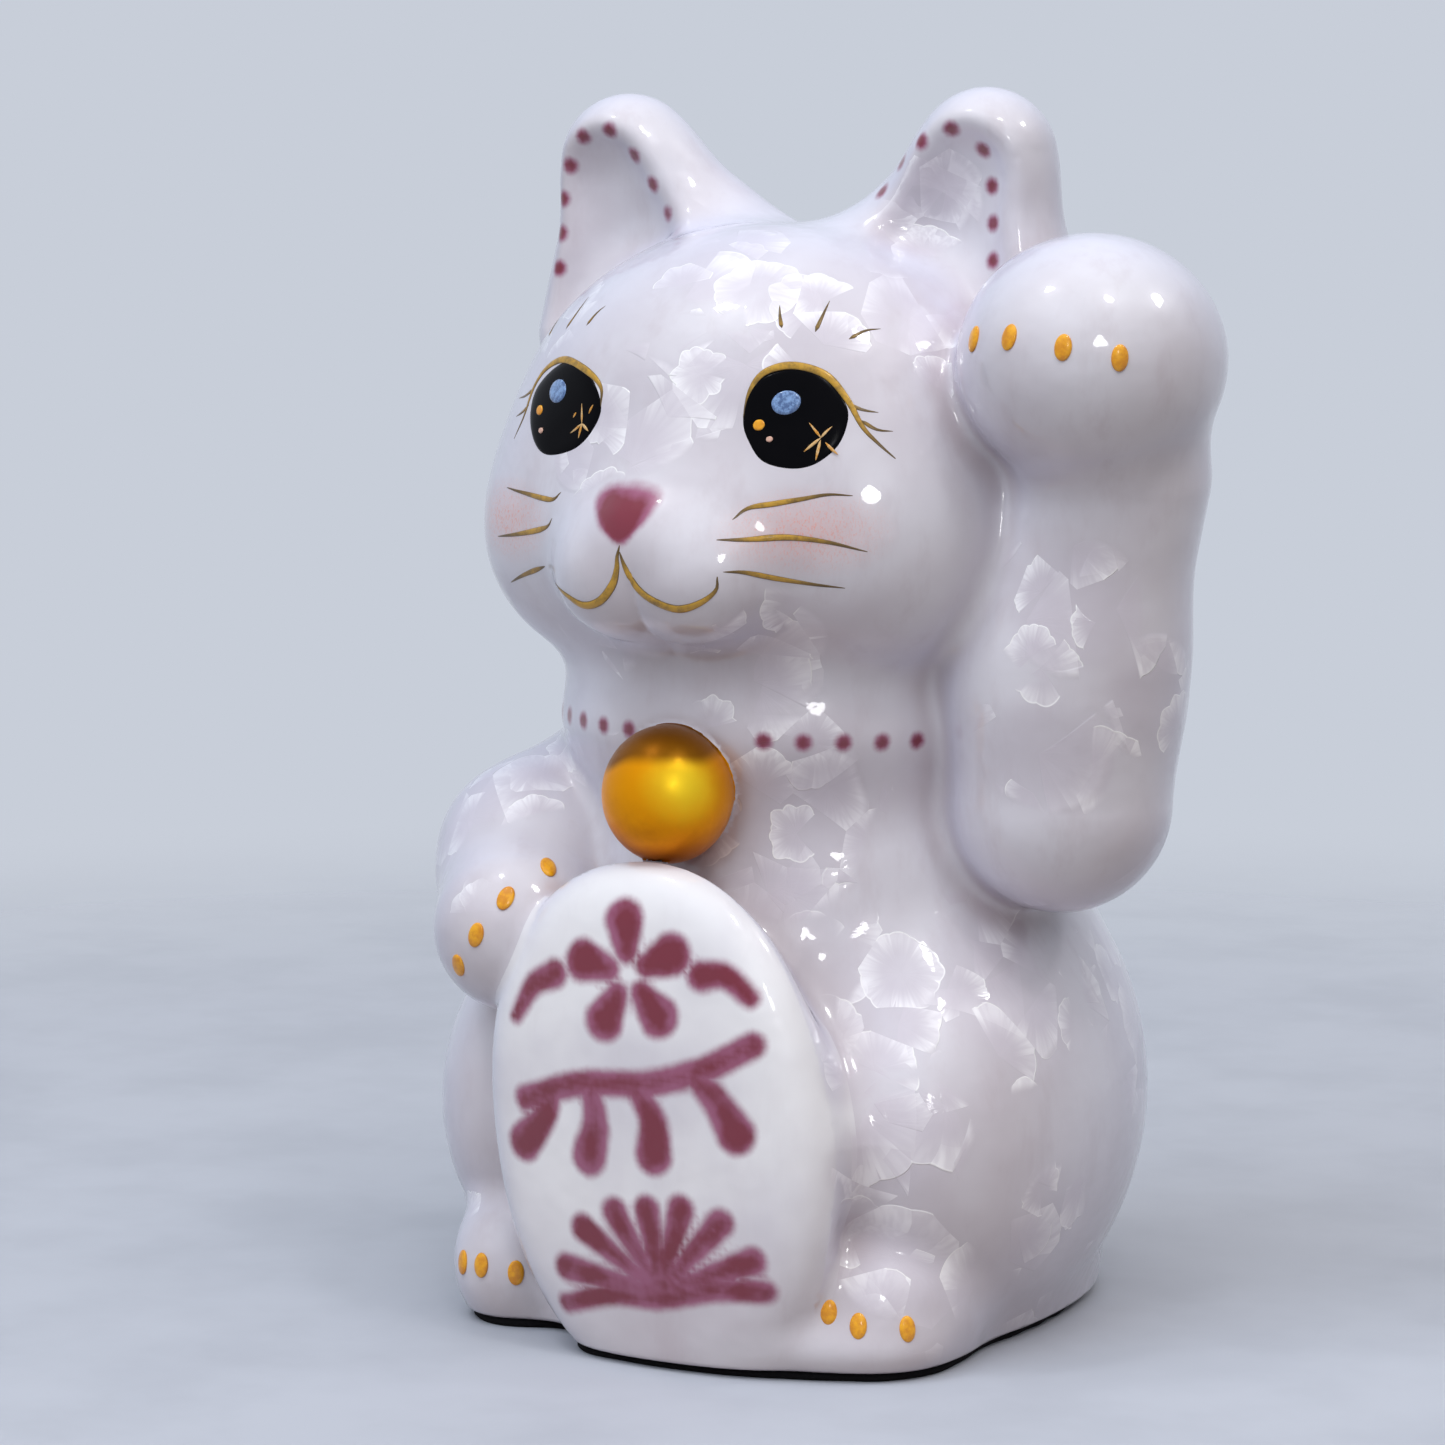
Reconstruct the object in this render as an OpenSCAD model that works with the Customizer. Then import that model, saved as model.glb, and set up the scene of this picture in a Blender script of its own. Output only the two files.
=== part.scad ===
// Seated porcelain cat with one paw raised, an oval plaque and a gold bell.
// Body and head are hollow slip castings; the other porcelain pieces are solid and luted on.
// The body stands on a closing plate with a felt pad. Millimetres, +Z up, the cat faces -Y,
// and the origin is the middle of the resting face.
//
// Each form is a function of a point that is below zero inside the form. A piece's surface is
// found by going out from a point inside the piece until its form ends or its seat is reached.

/* [Base] */
// Thickness of the felt pad under the figure
felt_t = 1.2; // [0.8:0.1:2]
// How far the felt stands in from the edge of the closing plate
felt_inset = 0.6; // [0.2:0.1:1.5]
// Thickness of the closing plate under the body casting
plate_t = 3; // [2:0.5:5]
// Diameter of the firing vent through the closing plate
vent_d = 6; // [4:1:10]

/* [Body casting] */
// Width of the belly
belly_w = 76; // [70:1:84]
// Depth of the belly, front to back
belly_d = 74; // [68:1:82]
// Height of the belly's rounded form
belly_h = 74; // [68:1:80]
// Height of the body casting, from the plate to the neck seam
casting_h = 72.3; // [68:0.5:78]
// Width of the chest
chest_w = 50; // [46:1:54]
// Depth of the chest
chest_d = 48; // [44:1:52]
// Height of the chest's rounded form
chest_h = 44; // [40:1:48]
// Width of the rolled collar
collar_w = 51; // [48:1:54]
// Depth of the rolled collar
collar_d = 48; // [45:1:51]
// Height of the rolled collar
collar_h = 26; // [23:1:29]
// Wall of the hollow castings
wall = 3; // [2:0.25:4]

/* [Haunches, feet and tail] */
// Width of one haunch
haunch_w = 36; // [32:1:40]
// Length of one haunch, front to back
haunch_l = 54; // [50:1:58]
// Height of one haunch
haunch_h = 50; // [46:1:54]
// Width of one foot
foot_w = 19.6; // [17:0.2:22]
// Length of one foot, most of it under the haunch
foot_l = 28.4; // [26:0.2:32]
// Height of one foot's rounded form
foot_h = 22; // [19:0.5:25]
// Thickness of the bobtail
tail_d = 14; // [11:0.5:17]
// Length of the bobtail between the middles of its two ends
tail_l = 8; // [5:0.5:12]

/* [Head] */
// Width of the skull
head_w = 62; // [58:1:66]
// Depth of the skull
head_d = 49; // [46:1:52]
// Height of the skull
head_h = 52; // [48:1:56]
// Width of one cheek
cheek_w = 34; // [30:1:38]
// Height of one cheek
cheek_h = 30; // [27:1:33]
// Width of the muzzle
muzzle_w = 24; // [20:1:28]
// Height of the ears above the crown
ear_rise = 15; // [12:0.5:18]
// Thickness of an ear at its tip
ear_tip_d = 13; // [11:0.5:15]
// Thickness of an ear at its outer foot
ear_foot_d = 19.6; // [17:0.2:22]

/* [Arms] */
// Thickness of the raised arm at the shoulder
arm_d = 25; // [22:0.5:28]
// Thickness of the raised arm at the wrist
wrist_d = 21.6; // [19:0.2:24]
// Width of the raised paw
paw_w = 29; // [26:0.5:32]
// Thickness of the lowered arm
low_arm_d = 23; // [20:0.5:26]
// Thickness of the lowered paw
low_paw_d = 19.6; // [17:0.2:22]

/* [Plaque and bell] */
// Width of the oval plaque
plaque_w = 42.4; // [38:0.2:46]
// Height of the whole oval, part of which is cut off flat where it stands
plaque_h = 59.6; // [54:0.2:64]
// Height of the oval that is cut off flat at the plate
plaque_cut = 7.8; // [5:0.2:11]
// Thickness of the plaque at its rim
plaque_t = 6; // [4.5:0.25:8]
// Rise of the plaque's face from the rim to the middle
plaque_dome = 2.5; // [1:0.25:4]
// Tilt of the plaque towards the lowered paw, in degrees
plaque_tilt = 8; // [4:1:12]
// Diameter of the bell
bell_d = 14.6; // [12:0.2:17]
// Depth of the bell's seat in the chest
bell_sink = 3.6; // [2.4:0.2:5]

/* [Enamel and fit] */
// Width of one black enamel eye
eye_w = 11.4; // [9:0.2:13]
// Height of one black enamel eye
eye_h = 11.8; // [10:0.2:14]
// Distance between the middles of the eyes
eye_pitch = 29; // [26:0.5:32]
// Width of one gold claw
claw_w = 1.8; // [1.4:0.1:2.4]
// Length of one gold claw
claw_l = 2.9; // [2.2:0.1:3.6]
// Thickness of the fired enamel
enamel_t = 0.4; // [0.3:0.05:0.6]
// Joint left for slip where a piece is luted on
slip = 0.25; // [0.15:0.05:0.4]

/* [Hidden] */

// Glaze and enamel colours
porcelain = [0.93, 0.91, 0.94];
plaque_white = [0.95, 0.94, 0.95];
gold = [0.88, 0.63, 0.08];
black_enamel = [0.05, 0.05, 0.06];
black_felt = [0.10, 0.10, 0.10];

// Steps of the searches for a surface, a seam and the plate's outline
search_steps = 8;
seam_steps = 5;
seam_stride = 6;
outline_steps = 120;

// Levels of the seams
seat_z = felt_t + plate_t;
neck_z = seat_z + casting_h;

// Middles of the body's forms, each from the form that carries it
belly_c = [0, 8, seat_z + 20.8];
chest_c = [0, belly_c.y - 7, neck_z - 20.5];
collar_c = [0, chest_c.y - 4.5, neck_z - 7];
haunch_c = [belly_w / 2 - 17.5, belly_c.y - 9, belly_c.z - 1];
foot_c = [belly_w / 2 - 15.2, belly_c.y - belly_d / 2 + 12.5, seat_z + 2.3];
tail_c = [0, belly_c.y + belly_d / 2 - 3, seat_z + tail_d / 2 + 0.8];
plate_c = [0, belly_c.y - 4, seat_z];
haunch_turn = 14;
foot_turn = 4;

// Middles of the head's forms
head_c = [0, collar_c.y - 2.5, neck_z + 23];
face_y = head_c.y - head_d / 2;
crown_z = head_c.z + head_h / 2;
cheek_c = [head_w / 2 - 16, head_c.y - 4.5, head_c.z - 9.5];
muzzle_c = [0, face_y + 4.5, head_c.z - 10];
whisker_pad_c = [4.7, face_y - 0.8, head_c.z - 12.9];
nose_c = [0, face_y - 2.1, head_c.z - 8.2];
cheek_d = 34;
nape_c = [0, collar_c.y, neck_z + 1];
nape_h = 24;

// An ear is a rounded triangle between its tip and two feet, with a dish pressed into its front
ear_round = 6;
ear_tip_c = [head_w / 2 - 7.7, head_c.y + 8, crown_z + ear_rise - ear_tip_d / 2 - ear_round / 4];
ear_outer_c = [head_w / 2 - 5.7, head_c.y + 9.5, crown_z - 12.5];
ear_inner_c = [8.5, head_c.y + 12, crown_z - 8.5];
ear_inner_d = 19;
dish_tip_c = ear_tip_c + [0.3, -10.8, -2.6];
dish_outer_c = ear_outer_c + [-0.9, -14, -3];
dish_inner_c = ear_inner_c + [4.3, -14, 0];
dish_tip_d = ear_tip_d - 0.4;
dish_outer_d = ear_foot_d - 1.2;
dish_inner_d = 16.4;

// Joints of the raised arm, which leans on the chest and rests its paw against the head
shoulder_c = [chest_w / 2 + arm_d / 2 - 2, chest_c.y - 4, neck_z - 15];
elbow_c = shoulder_c + [0.5, 0, 14.5];
paw_c = [head_w / 2 + paw_w / 2 - 4, head_c.y - 2.5, head_c.z + 11];
wrist_c = paw_c + [0.5, 4.5, -12.5];
elbow_d = arm_d - 1.4;
paw_d = paw_w + 2;
paw_h = paw_w - 1.4;

// The plaque stands on the plate in front of the belly
plaque_c = [1.4, belly_c.y - belly_d / 2 - 4, seat_z + plaque_h / 2 - plaque_cut];
plaque_side = [cos(plaque_tilt), 0, sin(plaque_tilt)];
plaque_up = [-sin(plaque_tilt), 0, cos(plaque_tilt)];
plaque_root = 6;
plaque_oval = 2.2;
plaque_rim = 4;

// Joints of the lowered arm: its elbow stands off the body's side, and its paw holds the plaque's
// upper corner
low_elbow_clear = 2;
low_shoulder_c = [3.2 - chest_w / 2, chest_c.y - 4, neck_z - 19.5];
low_elbow_from = [0, chest_c.y, low_shoulder_c.z - 5];
low_elbow_way = unit([-25.2, -16, 0]);
low_elbow_out = reach(function (p) body(p), low_elbow_from, low_elbow_way, belly_w);
low_elbow_c = low_elbow_from + (low_elbow_out + low_elbow_clear) * low_elbow_way;
low_paw_c = plaque_c + [-plaque_w / 2 - 0.7, 6, 20];

// The bell hangs at the collar's lower edge, where the line forward at its height leaves the chest
bell_h = bell_d + 0.8;
bell_z = neck_z - 13.7;
chest_out = reach(function (p) body(p), [0, chest_c.y, bell_z], [0, -1, 0], belly_d);
bell_c = [0, chest_c.y - chest_out - bell_d / 2 + bell_sink, bell_z];

// The plate closes the body's foot, and its corners are squarer than an ellipse's
plate_w = belly_w - 13;
plate_d = belly_d - 6;
plate_square = 2.6;

// Numbers of points round a piece and of its rings
casting_sides = 48;
ear_sides = 40;
arm_sides = 36;
foot_sides = 32;
plaque_sides = 40;
bell_sides = 28;
tail_sides = 24;
eye_sides = 24;
claw_sides = 12;

// Points inside the pieces from which their surfaces are found
ear_seed = [ear_tip_c.x - 3.8, ear_tip_c.y + 2, crown_z - 3];
foot_seed = [foot_c.x + 0.5, foot_c.y - foot_l / 2 + 5.7, seat_z];
eye_seed_y = face_y + 14;

// ---- Forms ---------------------------------------------------------------------------------

// Both forms as one, rounded over about k where they meet
function blend(a, b, k) = let (h = max(k - abs(a - b), 0) / k) min(a, b) - h * h * k / 4;

// Form a with form b cut out of it, rounded over about k
function carve(a, b, k) = -blend(-a, b, k);

// Ellipsoid about c of widths s
function ball(p, c, s) =
    let (
        q = 2 * (p - c),
        a = norm([q.x / s.x, q.y / s.y, q.z / s.z]),
        b = 2 * norm([q.x / s.x ^ 2, q.y / s.y ^ 2, q.z / s.z ^ 2])
    )
    b == 0 ? -min(s) / 2 : a * (a - 1) / b;

// Rod from a to b, of thickness da at a and db at b, with round ends
function rod(p, a, b, da, db) =
    let (h = min(max((p - a) * (b - a) / ((b - a) * (b - a)), 0), 1))
    norm(p - a - h * (b - a)) - (da + (db - da) * h) / 2;

// Point p seen from a frame turned by a degrees about the upright through c
function turned(p, c, a) =
    let (q = p - c) c + [q.x * cos(a) + q.y * sin(a), q.y * cos(a) - q.x * sin(a), q.z];

// Point p folded onto the cat's left side, for forms that come in pairs
function paired(p) = [abs(p.x), p.y, p.z];

function haunches(p) =
    ball(turned(paired(p), haunch_c, haunch_turn), haunch_c, [haunch_w, haunch_l, haunch_h]);

function body(p) =
    let (
        belly = ball(p, belly_c, [belly_w, belly_d, belly_h]),
        chest = ball(p, chest_c, [chest_w, chest_d, chest_h]),
        collar = ball(p, collar_c, [collar_w, collar_d, collar_h])
    )
    blend(blend(blend(belly, chest, 16), collar, 6), haunches(p), 6);

function left_foot(p) = ball(turned(p, foot_c, foot_turn), foot_c, [foot_w, foot_l, foot_h]);

function tail(p) = rod(p, tail_c, tail_c + [0, 0, tail_l], tail_d, tail_d - 2);

function head(p) =
    let (
        q = paired(p),
        skull = ball(p, head_c, [head_w, head_d, head_h]),
        cheek = ball(q, cheek_c, [cheek_w, cheek_d, cheek_h]),
        muzzle = ball(p, muzzle_c, [muzzle_w, 18, 18]),
        whisker_pad = ball(q, whisker_pad_c, [12, 9.2, 10.4]),
        nose = ball(p, nose_c, [8.4, 6, 6.4]),
        nape = ball(p, nape_c, [collar_w - 5, collar_d - 4, nape_h])
    )
    blend(blend(blend(blend(blend(skull, cheek, 8), muzzle, 9), whisker_pad, 3), nose, 4), nape, 5);

function left_ear(p) =
    let (
        outer = rod(p, ear_outer_c, ear_tip_c, ear_foot_d, ear_tip_d),
        inner = rod(p, ear_inner_c, ear_tip_c, ear_inner_d, ear_tip_d),
        dish_outer = rod(p, dish_outer_c, dish_tip_c, dish_outer_d, dish_tip_d),
        dish_inner = rod(p, dish_inner_c, dish_tip_c, dish_inner_d, dish_tip_d)
    )
    carve(blend(outer, inner, ear_round), blend(dish_outer, dish_inner, 5), 2);

function raised(p) =
    let (
        upper = rod(p, shoulder_c, elbow_c, arm_d, elbow_d),
        fore = rod(p, elbow_c, wrist_c, elbow_d, wrist_d),
        paw = ball(p, paw_c, [paw_w, paw_d, paw_h])
    )
    blend(blend(upper, fore, 8), paw, 5);

function lowered(p) =
    let (
        upper = rod(p, low_shoulder_c, low_elbow_c, low_arm_d, low_arm_d),
        fore = rod(p, low_elbow_c, low_paw_c, low_arm_d - 1, low_paw_d)
    )
    blend(upper, fore, 4);

function oval(p) =
    let (
        q = p - plaque_c,
        x = abs(q * plaque_side) / (plaque_w / 2),
        z = abs(q * plaque_up) / (plaque_h / 2),
        r = (x ^ plaque_oval + z ^ plaque_oval) ^ (1 / plaque_oval),
        rim = (r - 1) * plaque_w * 0.42,
        rise = q.y < 0 ? plaque_dome : plaque_root,
        face = abs(q.y) - plaque_t / 2 - rise * max(1 - r * r, -0.8)
    )
    carve(rim, -face, plaque_rim);

// Outline of the plate, which follows the foot of everything that stands on it
function footprint(p) =
    let (
        x = abs(p.x) / (plate_w / 2),
        y = abs(p.y - plate_c.y) / (plate_d / 2),
        slab = ((x ^ plate_square + y ^ plate_square) ^ (1 / plate_square) - 1) * plate_w / 2,
        q = [p.x, p.y, seat_z]
    )
    blend(blend(slab, body(q), 2), min(left_foot(paired(q)), oval(q)), 3);

// ---- Surfaces ------------------------------------------------------------------------------

// Distance from c along d at which form f ends, at most far
function reach(f, c, d, far) =
    let (beyond = f(c + far * d))
    beyond < 0 ? far : seek(f, c, d, 0, f(c), far, beyond, search_steps);

function seek(f, c, d, a, fa, b, fb, n) =
    let (
        m = n % 2 == 1 ? (a + b) / 2 : (a * fb - b * fa) / (fb - fa),
        fm = f(c + m * d)
    )
    n == 0 ? m : fm < 0 ? seek(f, c, d, m, fm, b, fb, n - 1) : seek(f, c, d, a, fa, m, fm, n - 1);

function unit(v) = v / norm(v);

// Direction at t degrees from w, and at a degrees round it
function heading(w, t, a) =
    let (
        u = unit(cross(w, abs(w.z) < 0.8 ? [0, 0, 1] : [0, 1, 0])),
        v = cross(w, u)
    )
    cos(t) * w + sin(t) * (cos(a) * u + sin(a) * v);

// First angle from w at which the piece of form f leaves its seat, where form g ends
function seam(f, g, c, w, a, far, t = seam_stride) =
    t >= 180 || loose(f, g, c, heading(w, t, a), far) > 0
    ? narrow(f, g, c, w, a, far, t - seam_stride, t, seam_steps)
    : seam(f, g, c, w, a, far, t + seam_stride);

function narrow(f, g, c, w, a, far, low, high, n) =
    let (t = (low + high) / 2)
    n == 0 ? t
    : loose(f, g, c, heading(w, t, a), far) < 0 ? narrow(f, g, c, w, a, far, t, high, n - 1)
    : narrow(f, g, c, w, a, far, low, t, n - 1);

// Above zero where the line from c along d ends on form f, and below where it ends in the seat
function loose(f, g, c, d, far) =
    let (p = c + reach(function (p) max(f(p), -g(p)), c, d, far) * d) f(p) + g(p);

// One ring of surface points of form f at t(a) degrees from w
function ring(f, c, w, far, angles) =
    let (n = len(angles))
    [for (i = [0 : n - 1]) let (d = heading(w, angles[i], 360 * i / n)) c + reach(f, c, d, far) * d];

// Closed skin over rings of equal count. It ends in the points first and last, or else its last
// ring closes on its first.
module skin(rings, first, last) {
    n = len(rings[0]);
    m = len(rings);
    pointed = !is_undef(first);
    sides = [
        for (i = [0 : m - (pointed ? 2 : 1)], j = [0 : n - 1])
        let (k = (i + 1) % m, l = (j + 1) % n) [i * n + j, i * n + l, k * n + l, k * n + j]
    ];
    ends = !pointed ? [] : [
        for (j = [0 : n - 1]) let (l = (j + 1) % n)
        each [[m * n, l, j], [m * n + 1, (m - 1) * n + j, (m - 1) * n + l]]
    ];
    points = concat([for (r = rings) each r], pointed ? [first, last] : []);
    polyhedron(points, concat(sides, ends), convexity = 8);
}

// Solid piece of form f about c, seated in the direction w where form g ends
module seated(f, g, c, w, far, around, seat_rings, free_rings) {
    seams = [for (i = [0 : around - 1]) seam(f, g, c, w, 360 * i / around, far)];
    piece = function (p) max(f(p), -g(p));
    seat = [for (k = [1 : seat_rings - 1]) ring(piece, c, w, far, seams * (k / seat_rings))];
    free = [
        for (k = [0 : free_rings - 1])
        ring(piece, c, w, far, [for (t = seams) t + (180 - t) * k / free_rings])
    ];
    skin(concat(seat, free), c + reach(piece, c, w, far) * w, c - reach(piece, c, -w, far) * w);
}

// Solid of form f over the point c of its flat foot, which lies level
module standing(f, c, far, around, rings) {
    skin([
        for (k = [1 : rings])
        ring(f, c, [0, 0, 1], far, [for (i = [1 : around]) 90 * k / rings])
    ], c + reach(f, c, [0, 0, 1], far) * [0, 0, 1], c);
}

// Point at height z on the line through the joints, which rise from one to the next
function along(joints, z, i = 1) =
    i < len(joints) - 1 && z > joints[i].z ? along(joints, z, i + 1)
    : joints[i - 1] + (z - joints[i - 1].z) / (joints[i].z - joints[i - 1].z) * (joints[i] - joints[i - 1]);

// Solid of form f in level rings about the line through the joints, closer together at its two ends
module column(f, joints, far, around, levels) {
    low = joints[0].z;
    high = joints[len(joints) - 1].z;
    skin([
        for (k = [1 : levels - 1])
        let (c = along(joints, (low + high) / 2 + (high - low) / 2 * cos(180 * k / levels)))
        [
            for (i = [0 : around - 1])
            let (d = [cos(360 * i / around), sin(360 * i / around), 0])
            c + reach(f, c, d, far) * d
        ]
    ], joints[len(joints) - 1], joints[0]);
}

// Hollow piece of form f about c, with the casting wall, open in the direction w where form g ends
module cast_open(f, g, c, w, far, around, in_rings, out_rings) {
    piece = function (p) max(f(p), -g(p));
    hollow = function (p) f(p) + wall;
    out_seams = [for (i = [0 : around - 1]) seam(f, g, c, w, 360 * i / around, far)];
    in_seams = [for (i = [0 : around - 1]) seam(hollow, g, c, w, 360 * i / around, far)];
    inside = [
        for (k = [in_rings - 1 : -1 : 0])
        let (lip = wall * min(1, 3 * k / in_rings))
        ring(function (p) max(hollow(p), lip - g(p)), c, w, far,
            [for (t = in_seams) t + (180 - t) * k / in_rings])
    ];
    outside = [
        for (k = [0 : out_rings - 1])
        ring(piece, c, w, far, [for (t = out_seams) t + (180 - t) * k / out_rings])
    ];
    skin(concat(inside, outside), c - reach(hollow, c, -w, far) * w, c - reach(f, c, -w, far) * w);
}

// Enamel patch of widths s on form f, about the point where the line from c along d comes out
module enamel(f, c, d, up, s, far, around, rings) {
    spot = c + reach(f, c, d, far) * d;
    step = 0.2;
    n = unit([for (e = [[step, 0, 0], [0, step, 0], [0, 0, step]]) f(spot + e) - f(spot - e)]);
    u = unit(cross(up, n));
    v = cross(n, u);
    clear = 4;
    // Point of the patch at share r of its size and a degrees round it, at height h over the form
    lay = function (r, a, h)
        let (q = spot + clear * n + r / 2 * (s.x * cos(a) * u + s.y * sin(a) * v))
        q - reach(function (p) h - f(p), q, -n, 3 * clear) * n;
    turn = 360 / around;
    top = [
        for (k = [1 : rings])
        [for (i = [0 : around - 1]) lay(k / rings, i * turn, enamel_t * (1 - 0.7 * (k / rings) ^ 4))]
    ];
    under = [for (k = [rings : -1 : 1]) [for (i = [0 : around - 1]) lay(k / rings, i * turn, 0.03)]];
    skin(concat(top, under), lay(0, 0, enamel_t), lay(0, 0, 0.03));
}

// ---- Sub-parts -----------------------------------------------------------------------------

// Points of the plate's outline, drawn in by the given amount
function plate_outline(inset) = [
    for (i = [0 : outline_steps - 1])
    let (
        a = 360 * i / outline_steps,
        d = [cos(a), sin(a), 0],
        r = reach(function (p) footprint(p), plate_c, d, plate_d) - inset
    )
    [plate_c.x + r * d.x, plate_c.y + r * d.y]
];

module felt_pad() {
    color(black_felt) linear_extrude(felt_t) polygon(plate_outline(felt_inset));
}

module closing_plate() {
    color(porcelain) translate([0, 0, felt_t]) difference() {
        linear_extrude(plate_t) polygon(plate_outline(0));
        translate([plate_c.x, plate_c.y, -1]) cylinder(h = plate_t + 2, d = vent_d, $fn = 48);
    }
}

// Open shell between the plate and the neck seam, found from the middle of each level
module body_casting() {
    around = casting_sides;
    out_levels = 24;
    in_levels = 9;
    axis = function (z) [0, belly_c.y + (collar_c.y - belly_c.y) * (z - seat_z) / casting_h, z];
    level = function (f, z) [
        for (i = [0 : around - 1])
        let (d = [cos(360 * i / around), sin(360 * i / around), 0])
        axis(z) + reach(f, axis(z), d, belly_w) * d
    ];
    outside = [
        for (k = [out_levels : -1 : 0]) level(function (p) body(p), seat_z + casting_h * k / out_levels)
    ];
    inside = [
        for (k = [0 : in_levels]) level(function (p) body(p) + wall, seat_z + casting_h * k / in_levels)
    ];
    color(porcelain) skin(concat(outside, inside));
}

module head_casting() {
    color(porcelain)
    cast_open(function (p) head(p), function (p) p.z - neck_z,
        head_c, [0, 0, -1], head_w, casting_sides, 8, 20);
}

module ear(side) {
    w = unit([-0.15, 0.05, -1]);
    color(porcelain) mirror([side < 0 ? 1 : 0, 0, 0])
    seated(function (p) left_ear(p), function (p) head(p) - 2 * slip, ear_seed,
        w, head_w, ear_sides, 8, 12);
}

module raised_arm() {
    joints = [
        shoulder_c - [0, 0, arm_d / 2], shoulder_c, elbow_c, wrist_c, paw_c, paw_c + [0, 0, paw_h / 2]
    ];
    color(porcelain)
    column(function (p) max(raised(p), 2 * slip - min(body(p), head(p), left_ear(p))),
        joints, paw_d, arm_sides, 30);
}

module lowered_arm() {
    color(porcelain)
    seated(function (p) lowered(p), function (p) body(p) - 2 * slip,
        low_elbow_c, unit([0.8, 0.6, -0.1]), 2 * low_arm_d, arm_sides, 10, 20);
}

module foot(side) {
    color(porcelain) mirror([side < 0 ? 1 : 0, 0, 0])
    standing(function (p) max(left_foot(p), slip - min(body(p), oval([side * p.x, p.y, p.z]))),
        foot_seed, foot_l, foot_sides, 10);
}

module bobtail() {
    color(porcelain)
    seated(function (p) tail(p), function (p) body(p) - slip,
        tail_c + [0, 2.5, tail_l / 2], [0, -1, 0], 2 * tail_d, tail_sides, 3, 8);
}

// Stack of level rings, cut flat where it stands, and notched by the belly and the lowered paw
module plaque() {
    around = plaque_sides;
    levels = 22;
    form = function (p) max(oval(p), slip - min(body(p), lowered(p)));
    spine = function (z) plaque_c + [0, -1.5, 0] + (z - plaque_c.z) / plaque_up.z * plaque_up;
    top = seat_z + reach(form, spine(seat_z), plaque_up, plaque_h) * plaque_up.z;
    rings = [
        for (k = [levels - 1 : -1 : 0])
        let (c = spine(seat_z + (top - seat_z) * k / levels))
        [
            for (i = [0 : around - 1])
            let (d = unit([cos(360 * i / around) * plaque_w, sin(360 * i / around) * plaque_t * 2, 0]))
            c + reach(form, c, d, plaque_w) * d
        ]
    ];
    color(plaque_white) skin(rings, spine(top), spine(seat_z));
}

module bell() {
    color(gold)
    seated(function (p) ball(p, bell_c, [bell_d, bell_d, bell_h]),
        function (p) min(body(p), oval(p)) - slip, bell_c, [0, 1, 0], 2 * bell_d, bell_sides, 3, 12);
}

module eye(side) {
    spot = [side * eye_pitch / 2, eye_seed_y, head_c.z + 5];
    color(black_enamel)
    enamel(function (p) head(p), spot, [0, -1, 0], [0, 0, 1], [eye_w, eye_h],
        head_d, eye_sides, 3);
}

// Row of claws on form f, fanned about c by the given pitch in the plane of middle and across
module claws(f, c, middle, across, pitch, count, far) {
    color(gold) for (i = [0 : count - 1]) {
        a = (i - (count - 1) / 2) * pitch;
        enamel(f, c, cos(a) * middle + sin(a) * across, cross(across, middle), [claw_w, claw_l],
            far, claw_sides, 2);
    }
}

module claws_raised_paw() {
    lift = 8;
    claws(function (p) raised(p), paw_c, unit([0.04, -cos(lift), sin(lift)]),
        [1, 0, 0], 23, 4, paw_d);
}

module claws_lowered_paw() {
    across = [0.6, 0, 0.8];
    turn = 21;
    claws(function (p) lowered(p), low_paw_c, cos(turn) * [0, -1, 0] + sin(turn) * across,
        cos(turn) * across + sin(turn) * [0, 1, 0], -32, 4, low_arm_d);
}

module claws_foot(side) {
    mirror([side < 0 ? 1 : 0, 0, 0])
    claws(function (p) left_foot(p), foot_c + [0, -6, 0], unit([0.12, -1, 0]),
        [1, 0, 0], 33, 3, foot_l);
}

felt_pad();
closing_plate();
body_casting();
head_casting();
ear(1);  // ear_left
ear(-1);  // ear_right
raised_arm();
lowered_arm();
foot(1);  // foot_left
foot(-1);  // foot_right
bobtail();
plaque();
bell();
eye(1);  // eye_left
eye(-1);  // eye_right
claws_raised_paw();
claws_lowered_paw();
claws_foot(1);  // claws_foot_left
claws_foot(-1);  // claws_foot_right
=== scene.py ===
"""Seated porcelain cat with one paw raised, glazed, painted and set on a felt pad.

The clay is one field: each form is below zero inside, and forms run into each other with the
soft fillets that glaze leaves. Its surface is meshed once, then cut where one form passes into
the next, so every piece is a closed shell of its own that meets its neighbours without a step.
Forms and places are in millimetres; meshes are in metres.
"""
import math

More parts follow.
